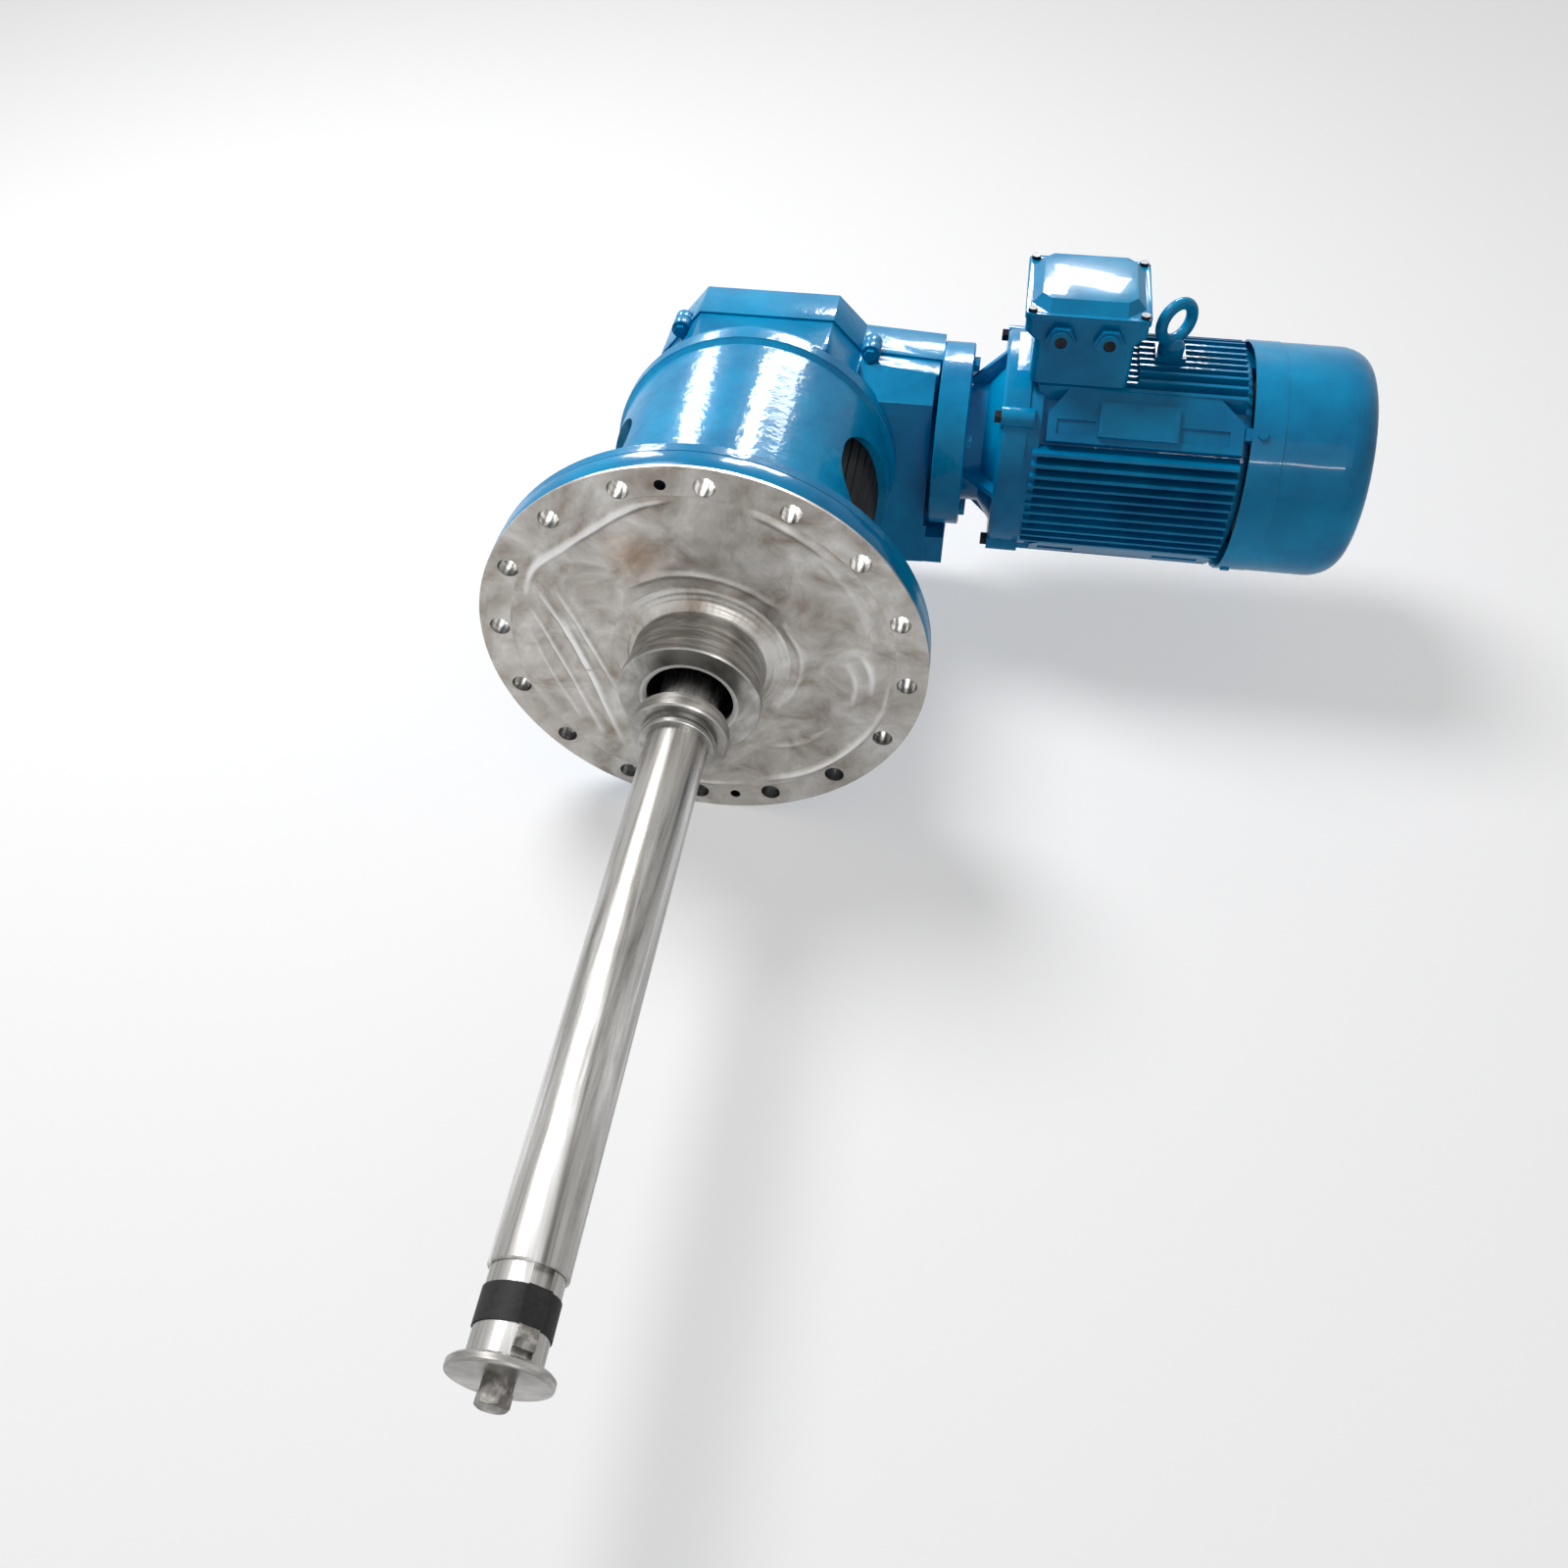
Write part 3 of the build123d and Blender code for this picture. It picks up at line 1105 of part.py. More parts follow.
def lid_screws():
    z1 = TBOX_TOP_Z + LID_RIM_T
    out = []
    for x, y in lid_screw_xy():
        out.append(cyl_z(2.5, TBOX_TOP_Z - 14, z1, x, y) + cyl_z(6, z1, z1 + 5, x, y))
    return Compound(children=[solid(s) for s in out])


def cable_entry_plugs():
    y0 = INPUT_Y - TBOX_WID / 2
    out = []
    for x in plug_x():
        plug = hex_y(PLUG_AF, y0 - PLUG_LEN + 3, y0, x, PLUG_Z)
        plug += cyl_y(PLUG_AF / 2 - 3, y0 - PLUG_LEN, y0, x, PLUG_Z)
        plug += cyl_y(10, y0, y0 + TBOX_WALL, x, PLUG_Z)
        out.append(plug - cyl_y(8, y0 - PLUG_LEN - 1, y0 - PLUG_LEN + 5, x, PLUG_Z))
    return Compound(children=[solid(s) for s in out])


def lifting_eye():
    r = EYE_INNER_R + EYE_BAR_R
    ring = Pos(0, 0, EYE_HEIGHT) * Rot(X=90) * Torus(r, EYE_BAR_R)
    foot = Cone(EYE_INNER_R, EYE_BAR_R + 2, 10, align=(Align.CENTER, Align.CENTER, Align.MIN))
    foot -= Pos(0, 0, EYE_HEIGHT) * Rot(X=90) * Cylinder(EYE_INNER_R, 60)
    shank = cyl_z(8, -22, 1)
    return Pos(EYE_X, INPUT_Y, EYE_BASE_Z) * Rot(Z=EYE_TURN) * (ring + foot + shank)


# ------------------------------------------------------- write every piece
PIECES = [
    wetted_face_disc, mounting_flange, seal_neck, neck_weld, shutoff_seat_ring, seat_seal_insert,
    seal_housing,
    seal_stationary_face, gland_bolts, lantern, window_guards, lantern_screws,
    gearbox_front_case, gearbox_rear_case, case_screws,
    output_rear_cover, layshaft_rear_cover, output_bearings, layshaft_bearings, oil_plugs,
    input_flange, input_bearings, input_flange_screws, drive_end_shield, shield_screws, motor_frame,
    nameplate, stator_core, stator_windings, nde_shield, motor_bearings, terminal_box,
    terminal_box_lid, lid_screws, cable_entry_plugs, lifting_eye, fan_cowl, cowl_screws,
    output_hollow_shaft, output_wheel, mixer_shaft, shutoff_collar, seal_sleeve, seal_rotating_face,
    propeller_key, keyway_tape, retaining_washer, spring_washer, retaining_bolt, layshaft,
    bevel_wheel, spur_pinion, motor_shaft, rotor_core, cooling_fan, coupling, bevel_pinion_shaft,
]

for piece in PIECES:
    name = piece.__name__
    shape = solid(piece())
    shape.label = name
    export_step(shape, "parts/" + name + ".step")
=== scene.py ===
# %% [markdown]
# # Side entry tank mixer: the looks
# The solids come from the CAD model and already have the right size and place.
# This lesson gives them their finish: gloss paint over castings, turned and pickled stainless
# steel, tape, black screws. It also builds the few surfaces that a CAD solid is too plain for.

import json
from math import atan2, cos, exp, hypot, pi, radians, sin

import bmesh
import bpy
from mathutils import Matrix, Vector, noise


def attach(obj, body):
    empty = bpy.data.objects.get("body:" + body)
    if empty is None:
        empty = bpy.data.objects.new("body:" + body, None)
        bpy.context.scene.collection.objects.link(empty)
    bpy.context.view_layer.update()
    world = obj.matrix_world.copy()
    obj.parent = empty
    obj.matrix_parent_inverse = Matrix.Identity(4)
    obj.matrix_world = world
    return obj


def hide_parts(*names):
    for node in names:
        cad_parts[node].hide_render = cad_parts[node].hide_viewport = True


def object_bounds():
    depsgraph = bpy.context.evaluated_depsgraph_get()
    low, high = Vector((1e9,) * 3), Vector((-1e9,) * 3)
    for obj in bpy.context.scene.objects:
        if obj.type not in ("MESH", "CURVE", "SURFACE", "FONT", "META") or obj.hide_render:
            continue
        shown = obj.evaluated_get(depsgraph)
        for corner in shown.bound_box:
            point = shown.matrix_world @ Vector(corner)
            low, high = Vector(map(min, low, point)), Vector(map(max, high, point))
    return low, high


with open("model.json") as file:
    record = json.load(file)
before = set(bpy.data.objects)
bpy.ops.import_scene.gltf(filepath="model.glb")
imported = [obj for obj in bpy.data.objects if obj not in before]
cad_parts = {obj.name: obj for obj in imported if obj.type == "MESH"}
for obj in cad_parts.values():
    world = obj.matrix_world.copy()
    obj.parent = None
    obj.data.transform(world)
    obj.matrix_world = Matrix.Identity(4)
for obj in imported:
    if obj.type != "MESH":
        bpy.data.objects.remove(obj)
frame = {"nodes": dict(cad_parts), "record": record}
cad_box = [list(corner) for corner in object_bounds()]
nodes = frame["nodes"]
print("nodes:", len(nodes), "box:", cad_box)

# %% [markdown]
# ## The camera
# The mixer is seen from above its shaft end, a little to the right, with a moderately wide lens.
# The camera's three axes are worked out from two angles and a small roll, so that the view can be
# read and changed as a person would say it.

# %% Place the camera
AZIMUTH, ELEVATION, ROLL = radians(9.4765), radians(48.6089), radians(-0.9363)
CAMERA_AT = Vector((0.30674, -1.23102, 1.19179))
LENS_MM, SENSOR_MM, NEAR_CLIP = 31.92, 36, 0.01


def camera_axes(azimuth, elevation, roll):
    back = Vector((sin(azimuth) * cos(elevation), -cos(azimuth) * cos(elevation), sin(elevation)))
    right = Vector((cos(azimuth), sin(azimuth), 0))
    up = back.cross(right)
    turned_right = cos(roll) * right + sin(roll) * up
    turned_up = -sin(roll) * right + cos(roll) * up
    return turned_right, turned_up, back


axes = camera_axes(AZIMUTH, ELEVATION, ROLL)
camera = bpy.data.objects.new("camera", bpy.data.cameras.new("camera"))
camera.matrix_world = Matrix.Translation(CAMERA_AT) @ Matrix(axes).transposed().to_4x4()
camera.data.lens = LENS_MM
camera.data.sensor_width = SENSOR_MM
camera.data.clip_start = NEAR_CLIP
bpy.context.scene.collection.objects.link(camera)
bpy.context.scene.camera = camera
print("camera at", tuple(round(v, 3) for v in CAMERA_AT))

# %% [markdown]
# ## Floor and light
# The floor is nearly white and the world is white for rays that look at it, so the metal mirrors
# the same white room. The light on the object itself stays at a plain level. One large soft lamp
# stands high at the back left, so the shadows fall to the front right.

# %% Stage the floor
FLOOR_SIZE = 14.0
FLOOR_GAP = 0.0005


def plane_object(name, size, height):
    mesh = bpy.data.meshes.new(name)
    bm = bmesh.new()
    bmesh.ops.create_grid(bm, x_segments=1, y_segments=1, size=size / 2)
    bmesh.ops.translate(bm, vec=(0, 0, height), verts=bm.verts)
    bm.to_mesh(mesh)
    bm.free()
    obj = bpy.data.objects.new(name, mesh)
    bpy.context.scene.collection.objects.link(obj)
    return obj


floor = plane_object("floor", FLOOR_SIZE, cad_box[0][2] - FLOOR_GAP)
print("floor at z", round(cad_box[0][2], 4))


# %% [markdown]
# ## Finishes from noise
# No real surface has one flat colour. Every finish here starts from noise on the object's own
# coordinates: a ramp turns it into tones, a range turns it into gloss, and a bump turns it into
# relief. The helpers below make those three links, so that each finish only gives its numbers.

# %% Node helpers
def new_material(name):
    material = bpy.data.materials.new(name)
    material.use_nodes = True
    return material, material.node_tree


def add_node(tree, kind, **settings):
    node = tree.nodes.new(kind)
    for key, value in settings.items():
        if key in node.inputs.keys():
            node.inputs[key].default_value = value
        else:
            setattr(node, key, value)
    return node


def join(tree, source, output, target, socket):
    tree.links.new(source.outputs[output], target.inputs[socket])


def set_inputs(node, **values):
    """Set sockets by name; an underscore stands for a space."""
    for key, value in values.items():
        node.inputs[key.replace("_", " ")].default_value = value


# %% Noise, tones, gloss and relief
def noise_on(tree, source, output, **settings):
    pattern = add_node(tree, "ShaderNodeTexNoise", **settings)
    join(tree, source, output, pattern, "Vector")
    return pattern


def tone_ramp(tree, pattern, low, high, tones, shader):
    """Spread the tones evenly between two noise levels, and colour the shader with them."""
    ramp = add_node(tree, "ShaderNodeValToRGB")
    stops = ramp.color_ramp.elements
    stops[0].position, stops[1].position = low, high
    stops[0].color, stops[1].color = (*tones[0], 1), (*tones[-1], 1)
    for k, tone in enumerate(tones[1:-1]):
        stops.new(low + (high - low) * (k + 1) / (len(tones) - 1)).color = (*tone, 1)
    join(tree, pattern, "Fac", ramp, "Fac")
    join(tree, ramp, "Color", shader, "Base Color")


def gloss_range(tree, pattern, low, high, shader):
    """Let the roughness wander between two values."""
    spread = add_node(tree, "ShaderNodeMapRange")
    set_inputs(spread, To_Min=low, To_Max=high)
    join(tree, pattern, "Fac", spread, "Value")
    join(tree, spread, "Result", shader, "Roughness")


def relief_from(tree, pattern, strength, depth):
    relief = add_node(tree, "ShaderNodeBump", Strength=strength, Distance=depth)
    join(tree, pattern, "Fac", relief, "Height")
    return relief


# %% [markdown]
# ## Room and lamps
# A product on white needs a white room to mirror, but a white room would also wash the part out. So
# the world is white only for the rays that show it, and low for the rays that light the part. The
# highlights on gloss paint come from softboxes, which are visible in shiny surfaces only.

# %% White room
ROOM_LOW, ROOM_WHITE = 0.22, 1.0


def sees_background(tree):
    """1 for the rays that show the background (camera, glossy, transmission), and 0 for others."""
    path = add_node(tree, "ShaderNodeLightPath")
    total, source = path, "Is Camera Ray"
    for ray in ("Is Glossy Ray", "Is Transmission Ray"):
        added = add_node(tree, "ShaderNodeMath", operation="ADD", use_clamp=True)
        join(tree, total, source, added, 0)
        join(tree, path, ray, added, 1)
        total, source = added, 0
    return total


def light_world():
    world = bpy.data.worlds.new("white_room")
    world.use_nodes = True
    bpy.context.scene.world = world
    tree = world.node_tree
    background = tree.nodes["Background"]
    background.inputs["Color"].default_value = (1, 1, 1, 1)
    level = add_node(tree, "ShaderNodeMapRange")
    set_inputs(level, To_Min=ROOM_LOW, To_Max=ROOM_WHITE)
    join(tree, sees_background(tree), 0, level, "Value")
    join(tree, level, "Result", background, "Strength")


light_world()
print("room:", ROOM_LOW, "for light,", ROOM_WHITE, "where it is seen")

# %% Lamps and softboxes
PART_AT, LANTERN_AT = (0.2, 0.0, 0.0), (0.0, 0.25, 0.15)
COWL_AT, GEARBOX_AT = (0.75, 0.4, 0.0), (0.43, 0.5, 0.25)
# name, place, aim, diameter, watts
ROUND_LAMPS = [
    ("key_lamp", (-1.4, 1.3, 3.0), PART_AT, 1.6, 122),
    ("front_lamp", (1.6, -2.6, 2.6), PART_AT, 1.8, 7),
]
# name, place, aim, width, height, watts
SOFTBOXES = [
    ("left_strip", (-1.56, 3.1, 1.62), LANTERN_AT, 0.46, 1.0, 64),
    ("middle_strip", (0.17, 3.1, 2.28), LANTERN_AT, 0.50, 0.62, 70),
    ("cowl_strip", (1.3, -2.7, 1.9), COWL_AT, 1.0, 0.10, 11),
    ("back_panel", (0.62, 3.1, 1.70), GEARBOX_AT, 0.80, 0.60, 68),
]


def soft_lamp(name, place, aim, size, watts):
    lamp = bpy.data.objects.new(name, bpy.data.lights.new(name, "AREA"))
    lamp.data.shape = "DISK"
    lamp.data.size = size
    lamp.data.energy = watts
    lamp.location = place
    lamp.rotation_euler = (Vector(place) - Vector(aim)).to_track_quat("Z", "Y").to_euler()
    bpy.context.scene.collection.objects.link(lamp)
    return lamp


def softbox(name, place, aim, width, height, watts):
    """Shows in shiny surfaces as a highlight, and adds no light to matt ones."""
    lamp = soft_lamp(name, place, aim, width, watts)
    lamp.data.shape = "RECTANGLE"
    lamp.data.size_y = height
    lamp.visible_diffuse = False
    return lamp


lamps = [soft_lamp(*row) for row in ROUND_LAMPS] + [softbox(*row) for row in SOFTBOXES]
bpy.context.scene.view_settings.view_transform = "Standard"
print("lamps:", [lamp.name for lamp in lamps])

# %% [markdown]
# ## Floor finish
# The floor is a pale matt surface with a very slow cloud in it. Part of what is seen of it is
# lifted to white, which keeps the shadows of the part and makes them soft.

# %% Floor
FLOOR_LIFT = 0.46
FLOOR_TONES = ((0.93, 0.935, 0.95), (0.96, 0.96, 0.965))


def floor_material():
    material, tree = new_material("white_sweep")
    shader = tree.nodes["Principled BSDF"]
    set_inputs(shader, Roughness=0.9, Specular_IOR_Level=0.1)
    coords = add_node(tree, "ShaderNodeTexCoord")
    cloud = noise_on(tree, coords, "Object", Scale=0.6, Detail=1.0)
    tone_ramp(tree, cloud, 0.0, 1.0, FLOOR_TONES, shader)
    glow = add_node(tree, "ShaderNodeEmission", Strength=1.0)
    share = add_node(tree, "ShaderNodeMath", operation="MULTIPLY")
    share.inputs[1].default_value = FLOOR_LIFT
    join(tree, sees_background(tree), 0, share, 0)
    mix = add_node(tree, "ShaderNodeMixShader")
    join(tree, share, 0, mix, "Fac")
    join(tree, shader, 0, mix, 1)
    join(tree, glow, 0, mix, 2)
    join(tree, mix, "Shader", tree.nodes["Material Output"], "Surface")
    return material


floor.data.materials.append(floor_material())
print("floor lifted by", FLOOR_LIFT)

# %% [markdown]
# ## Gloss paint
# Industrial machines are sprayed with a two-part gloss enamel. It lies over rough castings, so the
# skin is shiny but never flat: a fine orange peel, and under it the slow waves of the sand mould.
# Both are bump from noise. The blue shifts a little from place to place.

# %% Make the paint
DEEP_BLUE, BRIGHT_BLUE = (0.0, 0.150, 0.345), (0.0, 0.310, 0.590)
WAVE_DEPTH, PEEL_DEPTH = 0.002, 0.0004


def paint_material(name, peel, wave, roughness):
    material, tree = new_material(name)
    shader = tree.nodes["Principled BSDF"]
    set_inputs(shader, Specular_IOR_Level=0.05, Coat_Weight=0.20, Coat_Roughness=0.05)
    coords = add_node(tree, "ShaderNodeTexCoord")
    patches = noise_on(tree, coords, "Object", Scale=7.0, Detail=5.0, Roughness=0.6)
    tone_ramp(tree, patches, 0.32, 0.70, (DEEP_BLUE, BRIGHT_BLUE), shader)
    dull = noise_on(tree, coords, "Object", Scale=22.0, Detail=3.0)
    gloss_range(tree, dull, roughness - 0.07, roughness + 0.09, shader)
    skin = noise_on(tree, coords, "Object", Scale=420.0, Detail=2.0)
    cast = noise_on(tree, coords, "Object", Scale=65.0, Detail=3.0)
    wide = relief_from(tree, cast, wave, WAVE_DEPTH)
    fine = relief_from(tree, skin, peel, PEEL_DEPTH)
    join(tree, wide, "Normal", fine, "Normal")
    join(tree, fine, "Normal", shader, "Normal")
    join(tree, wide, "Normal", shader, "Coat Normal")
    return material


casting_paint = paint_material("casting_paint", peel=0.35, wave=0.30, roughness=0.30)
smooth_paint = paint_material("smooth_paint", peel=0.15, wave=0.06, roughness=0.22)
print("paint:", casting_paint.name, smooth_paint.name)

# %% [markdown]
# ## Stainless steel
# The shaft is turned and polished: its grain runs round it, with streaks along it. These are
# partly handling marks and partly painted reflection, the dark and bright bands that a polished
# shaft mirrors. The face disc is pickled after welding, which leaves clouds, streaks and a brown
# heat tint. One recipe makes both: a ramp for the tone, a second noise for the gloss, fine bump.
# The stretch draws the noise out along the shaft or round it.

# %% Make the steels
STEEL_RELIEF_DEPTH, GRAIN_FINENESS = 0.0005, 6


def steel_material(name, tones, stretch, scale, gloss, bump):
    material, tree = new_material(name)
    shader = tree.nodes["Principled BSDF"]
    set_inputs(shader, Metallic=1.0)
    coords = add_node(tree, "ShaderNodeTexCoord")
    mapping = add_node(tree, "ShaderNodeMapping", Scale=stretch)
    join(tree, coords, "Object", mapping, "Vector")
    clouds = noise_on(tree, mapping, "Vector", Scale=scale, Detail=6.0, Roughness=0.62,
                      Distortion=0.6)
    tone_ramp(tree, clouds, 0.28, 0.72, tones, shader)
    grain = noise_on(tree, mapping, "Vector", Scale=scale * GRAIN_FINENESS, Detail=4.0)
    gloss_range(tree, grain, *gloss, shader)
    relief = relief_from(tree, grain, bump, STEEL_RELIEF_DEPTH)
    join(tree, relief, "Normal", shader, "Normal")
    return material


SHAFT_TONES = ((0.15, 0.142, 0.132), (0.31, 0.30, 0.285), (0.56, 0.55, 0.54))
# painted reflection: these streak tones, near black to near white, paint the dark and bright bands
# that the polished shaft mirrors, on top of its handling streaks
STREAK_TONES = ((0.06, 0.056, 0.052), (0.27, 0.26, 0.245), (0.46, 0.45, 0.435), (0.84, 0.83, 0.82))
WORN_TONES = ((0.06, 0.055, 0.050), (0.20, 0.19, 0.175), (0.50, 0.48, 0.45))
FACE_TONES = ((0.23, 0.185, 0.145), (0.38, 0.350, 0.318), (0.52, 0.500, 0.472),
              (0.68, 0.670, 0.650))
EVEN, ALONG_SHAFT, ROUND_SHAFT = (1, 1, 1), (1, 0.05, 1), (1, 7, 1)
worn_steel = steel_material("worn_steel", WORN_TONES, EVEN, 70, (0.28, 0.5), 0.3)
# the shaft's streaks: handling marks plus painted reflection bands
shaft_steel = steel_material("shaft_steel", STREAK_TONES, ALONG_SHAFT, 46, (0.20, 0.36), 0.05)
turned_steel = steel_material("turned_steel", SHAFT_TONES, ROUND_SHAFT, 16, (0.22, 0.40), 0.08)
pickled_steel = steel_material("pickled_steel", FACE_TONES, EVEN, 15, (0.26, 0.48), 0.25)
gear_steel = steel_material("gear_steel", SHAFT_TONES, EVEN, 40, (0.25, 0.40), 0.05)
print("steels made")

# %% [markdown]
# ## Dull finishes
# Tape, black screws, cast iron, carbon, copper wire, plastic and seal rings differ in tone, gloss
# and grain, but not in kind: each is a fine speckle between two tones. One recipe and a table make
# them all.

# %% Make the dull finishes
SPECKLE_DEPTH = 0.0004
# name: dark tone, light tone, scale of the speckle, gloss, bump, metallic
DULL_FINISHES = {
    "black_tape": ((0.012, 0.012, 0.013), (0.03, 0.03, 0.032), 160, (0.45, 0.7), 0.5, 0.0),
    # this finish also serves as painted shade: it lines the jacking holes and fills the plug sockets
    "black_screw_and_shade": ((0.01, 0.011, 0.014), (0.03, 0.032, 0.038), 90, (0.3, 0.5), 0.2, 0.6),
    "cast_iron": ((0.09, 0.09, 0.095), (0.16, 0.16, 0.165), 120, (0.45, 0.65), 0.4, 0.7),
    "seal_carbon": ((0.02, 0.02, 0.021), (0.045, 0.045, 0.047), 200, (0.25, 0.4), 0.1, 0.0),
    "copper_wire": ((0.30, 0.11, 0.05), (0.48, 0.20, 0.09), 300, (0.3, 0.5), 0.4, 0.8),
    "fan_plastic": ((0.015, 0.015, 0.018), (0.04, 0.04, 0.044), 80, (0.4, 0.6), 0.2, 0.0),
    "soft_ptfe": ((0.90, 0.89, 0.87), (0.95, 0.945, 0.93), 60, (0.35, 0.5), 0.08, 0.0),
    "guard_sheet": ((0.0025, 0.002, 0.0015), (0.007, 0.0055, 0.004), 60, (0.6, 0.8), 0.1, 0.0),
}


def dull_material(name, dark, light, scale, gloss, bump, metallic):
    material, tree = new_material(name)
    shader = tree.nodes["Principled BSDF"]
    set_inputs(shader, Metallic=metallic, Specular_IOR_Level=0.2)
    coords = add_node(tree, "ShaderNodeTexCoord")
    speckle = noise_on(tree, coords, "Object", Scale=scale, Detail=4.0)
    tone_ramp(tree, speckle, 0.3, 0.7, (dark, light), shader)
    gloss_range(tree, speckle, *gloss, shader)
    relief = relief_from(tree, speckle, bump, SPECKLE_DEPTH)
    join(tree, relief, "Normal", shader, "Normal")
    return material


dull = {name: dull_material(name, *row) for name, row in DULL_FINISHES.items()}
print("dull finishes:", list(dull))

# %% [markdown]
# ## Paint every node
# Each node of the frame names a material slot, and each slot gets one finish. A few nodes look
# different from the rest of their slot: the flange, the terminal box and the plate are smoother than
# the castings, and the steel at the shaft end is worn. They are listed by name.

# %% Paint every node of the frame
FINISH = {
    "stainless": turned_steel,
    "stainless_face": pickled_steel,
    "blue_paint": casting_paint,
    "cowl_paint": smooth_paint,
    "black_tape": dull["black_tape"],
    "dark_fastener": dull["black_screw_and_shade"],
    "cast_inner": dull["cast_iron"],
    "gear_steel": gear_steel,
    "bearing_steel": gear_steel,
    "seal_carbon": dull["seal_carbon"],
    "copper": dull["copper_wire"],
    "dark_plastic": dull["fan_plastic"],
    "white_ptfe": dull["soft_ptfe"],
}
OWN_FINISH = {
    "mixer_shaft": shaft_steel,
    "window_guards": dull["guard_sheet"],
    **dict.fromkeys(("retaining_bolt", "spring_washer", "propeller_key"), worn_steel),
    **dict.fromkeys(("mounting_flange", "terminal_box", "terminal_box_lid", "nameplate"),
                    smooth_paint),
}
SLOT_OF = {part["node"]: part["material_slot"] for part in frame["record"]["subparts"]}


def dress(obj, material):
    obj.data.materials.clear()
    obj.data.materials.append(material)


for name, slot_name in SLOT_OF.items():
    dress(nodes[name], OWN_FINISH.get(name, FINISH[slot_name]))
print("painted", len(nodes), "nodes")

# %% [markdown]
# ## Crumpled cladding on the tank face
# The face that meets the product is clad with thin stainless sheet. Welding has pulled it into
# creases and folds. Each crease is a line across the face; the sheet rises along it as a soft ridge
# and sinks again within a few millimetres.

# %% Mesh helpers
MM = 0.001
ALONG_Y = {"axis": (0, 1, 0), "dvec": (0, 0, 0), "angle": 2 * pi, "use_merge": True,
           "use_duplicate": False}


def spun(profile, steps):
    """Turn a profile of (radius, y) points, in mm, once round the shaft axis."""
    bm = bmesh.new()
    verts = [bm.verts.new((r * MM, y * MM, 0)) for r, y in profile]
    edges = [bm.edges.new(pair) for pair in zip(verts, verts[1:])]
    bmesh.ops.spin(bm, geom=verts + edges, cent=(0, 0, 0), steps=steps, **ALONG_Y)
    bmesh.ops.recalc_face_normals(bm, faces=bm.faces)
    return bm


def piece_from(name, bm, material, smooth_angle=40):
    mesh = bpy.data.meshes.new(name)
    for face in bm.faces:
        face.smooth = True
    bm.to_mesh(mesh)
    bm.free()
    mesh.materials.append(material)
    obj = bpy.data.objects.new(name, mesh)
    bpy.context.scene.collection.objects.link(obj)
    mesh.set_sharp_from_angle(angle=radians(smooth_angle))
    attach(obj, "housing")
    return obj


# %% Crease lines
# height in mm, half width in mm, points of the line as (x, z)
CREASES = [
    (5.0, 5.5, [(-25, 240), (-73, 221), (-119, 186), (-169, 146), (-193, 128), (-206, 105),
                (-215, 72)]),
    (4.4, 4.5, [(-197, 86), (-158, -2), (-112, -185)]),
    (3.4, 4.0, [(-212, 60), (-186, -12), (-140, -160)]),
    (3.0, 4.5, [(-178, 96), (-146, 20), (-112, -80)]),
    (2.6, 3.5, [(-216, 20), (-200, -50), (-168, -130)]),
    (2.4, 3.5, [(-172, 50), (-150, -20), (-130, -90)]),
    (4.0, 5.0, [(201, 27), (214, -2), (213, -38)]),
    (3.0, 4.0, [(182, 10), (196, -20), (190, -60)]),
    (4.6, 4.5, [(235, -18), (230, -83), (186, -149), (130, -198), (74, -219)]),
    (2.0, 5.0, [(60, 236), (120, 204), (176, 158)]),
    (1.8, 6.0, [(150, 170), (196, 110), (205, 60)]),
    (2.2, 4.0, [(-80, -225), (-20, -238), (50, -232)]),
    (2.2, 3.5, [(84, -150), (130, -140), (160, -110)]),
    (2.6, 4.5, [(104, 62), (128, 20), (124, -30), (100, -74)]),
    (2.0, 4.0, [(-90, 100), (-30, 132), (40, 128), (96, 92)]),
]
CREASE_REACH, CREASE_STRIDE = 75.0, 4
ENDS_AT = 0.04
SHEET_LIFT, SWELL_H, RIPPLE_H = 1.2, 1.5, 0.7
SWELL_SCALE, RIPPLE_SCALE = 0.012, 0.045
SWELL_LAYER, RIPPLE_LAYER = 3.0, 9.0


def line_distance(p, a, b):
    ab = b - a
    t = max(0.0, min(1.0, (p - a).dot(ab) / ab.dot(ab)))
    return (p - a - ab * t).length, t


def rounded(points, rounds=2):
    """Cut the corners of a line twice, so that a crease bends instead of turning sharply."""
    line = [Vector(p) for p in points]
    for _ in range(rounds):
        cut = [line[0]]
        for a, b in zip(line, line[1:]):
            cut += [a.lerp(b, 0.25), a.lerp(b, 0.75)]
        line = cut + [line[-1]]
    return line


crease_lines = [(top, width, rounded(points)) for top, width, points in CREASES]
print("creases:", len(crease_lines))


# %% Height of the sheet
def sheet_height(x, z):
    """How far the cladding stands off the flange at a place on the face, in mm."""
    here = Vector((x, z))
    rise = 0.0
    for top, width, points in crease_lines:
        if min((here - p).length for p in points[::CREASE_STRIDE]) > CREASE_REACH:
            continue
        spans = [line_distance(here, a, b) for a, b in zip(points, points[1:])]
        near, k = min((gap, k) for k, (gap, t) in enumerate(spans))
        along = (k + spans[k][1]) / (len(points) - 1)
        fade = sin(pi * max(ENDS_AT, min(1 - ENDS_AT, along))) ** 0.5
        rise += top * fade * exp(-(near / width) ** 2)
    swell = noise.noise(Vector((x * SWELL_SCALE, z * SWELL_SCALE, SWELL_LAYER)))
    ripple = noise.noise(Vector((x * RIPPLE_SCALE, z * RIPPLE_SCALE, RIPPLE_LAYER)))
    return SHEET_LIFT + rise + SWELL_H * swell + RIPPLE_H * ripple


# %% Finish of the cladding
HEAT_TINT_AT, HEAT_TINT_R, HEAT_TINT_SHARE = (-0.070, 0.0, 0.150), 0.055, 0.75
# the second colour is a painted highlight, the bright tone that the crests of the creases are mixed
# towards
HEAT_BROWN, RUBBED_BRIGHT = (0.78, 0.60, 0.46, 1), (0.86, 0.86, 0.85, 1)


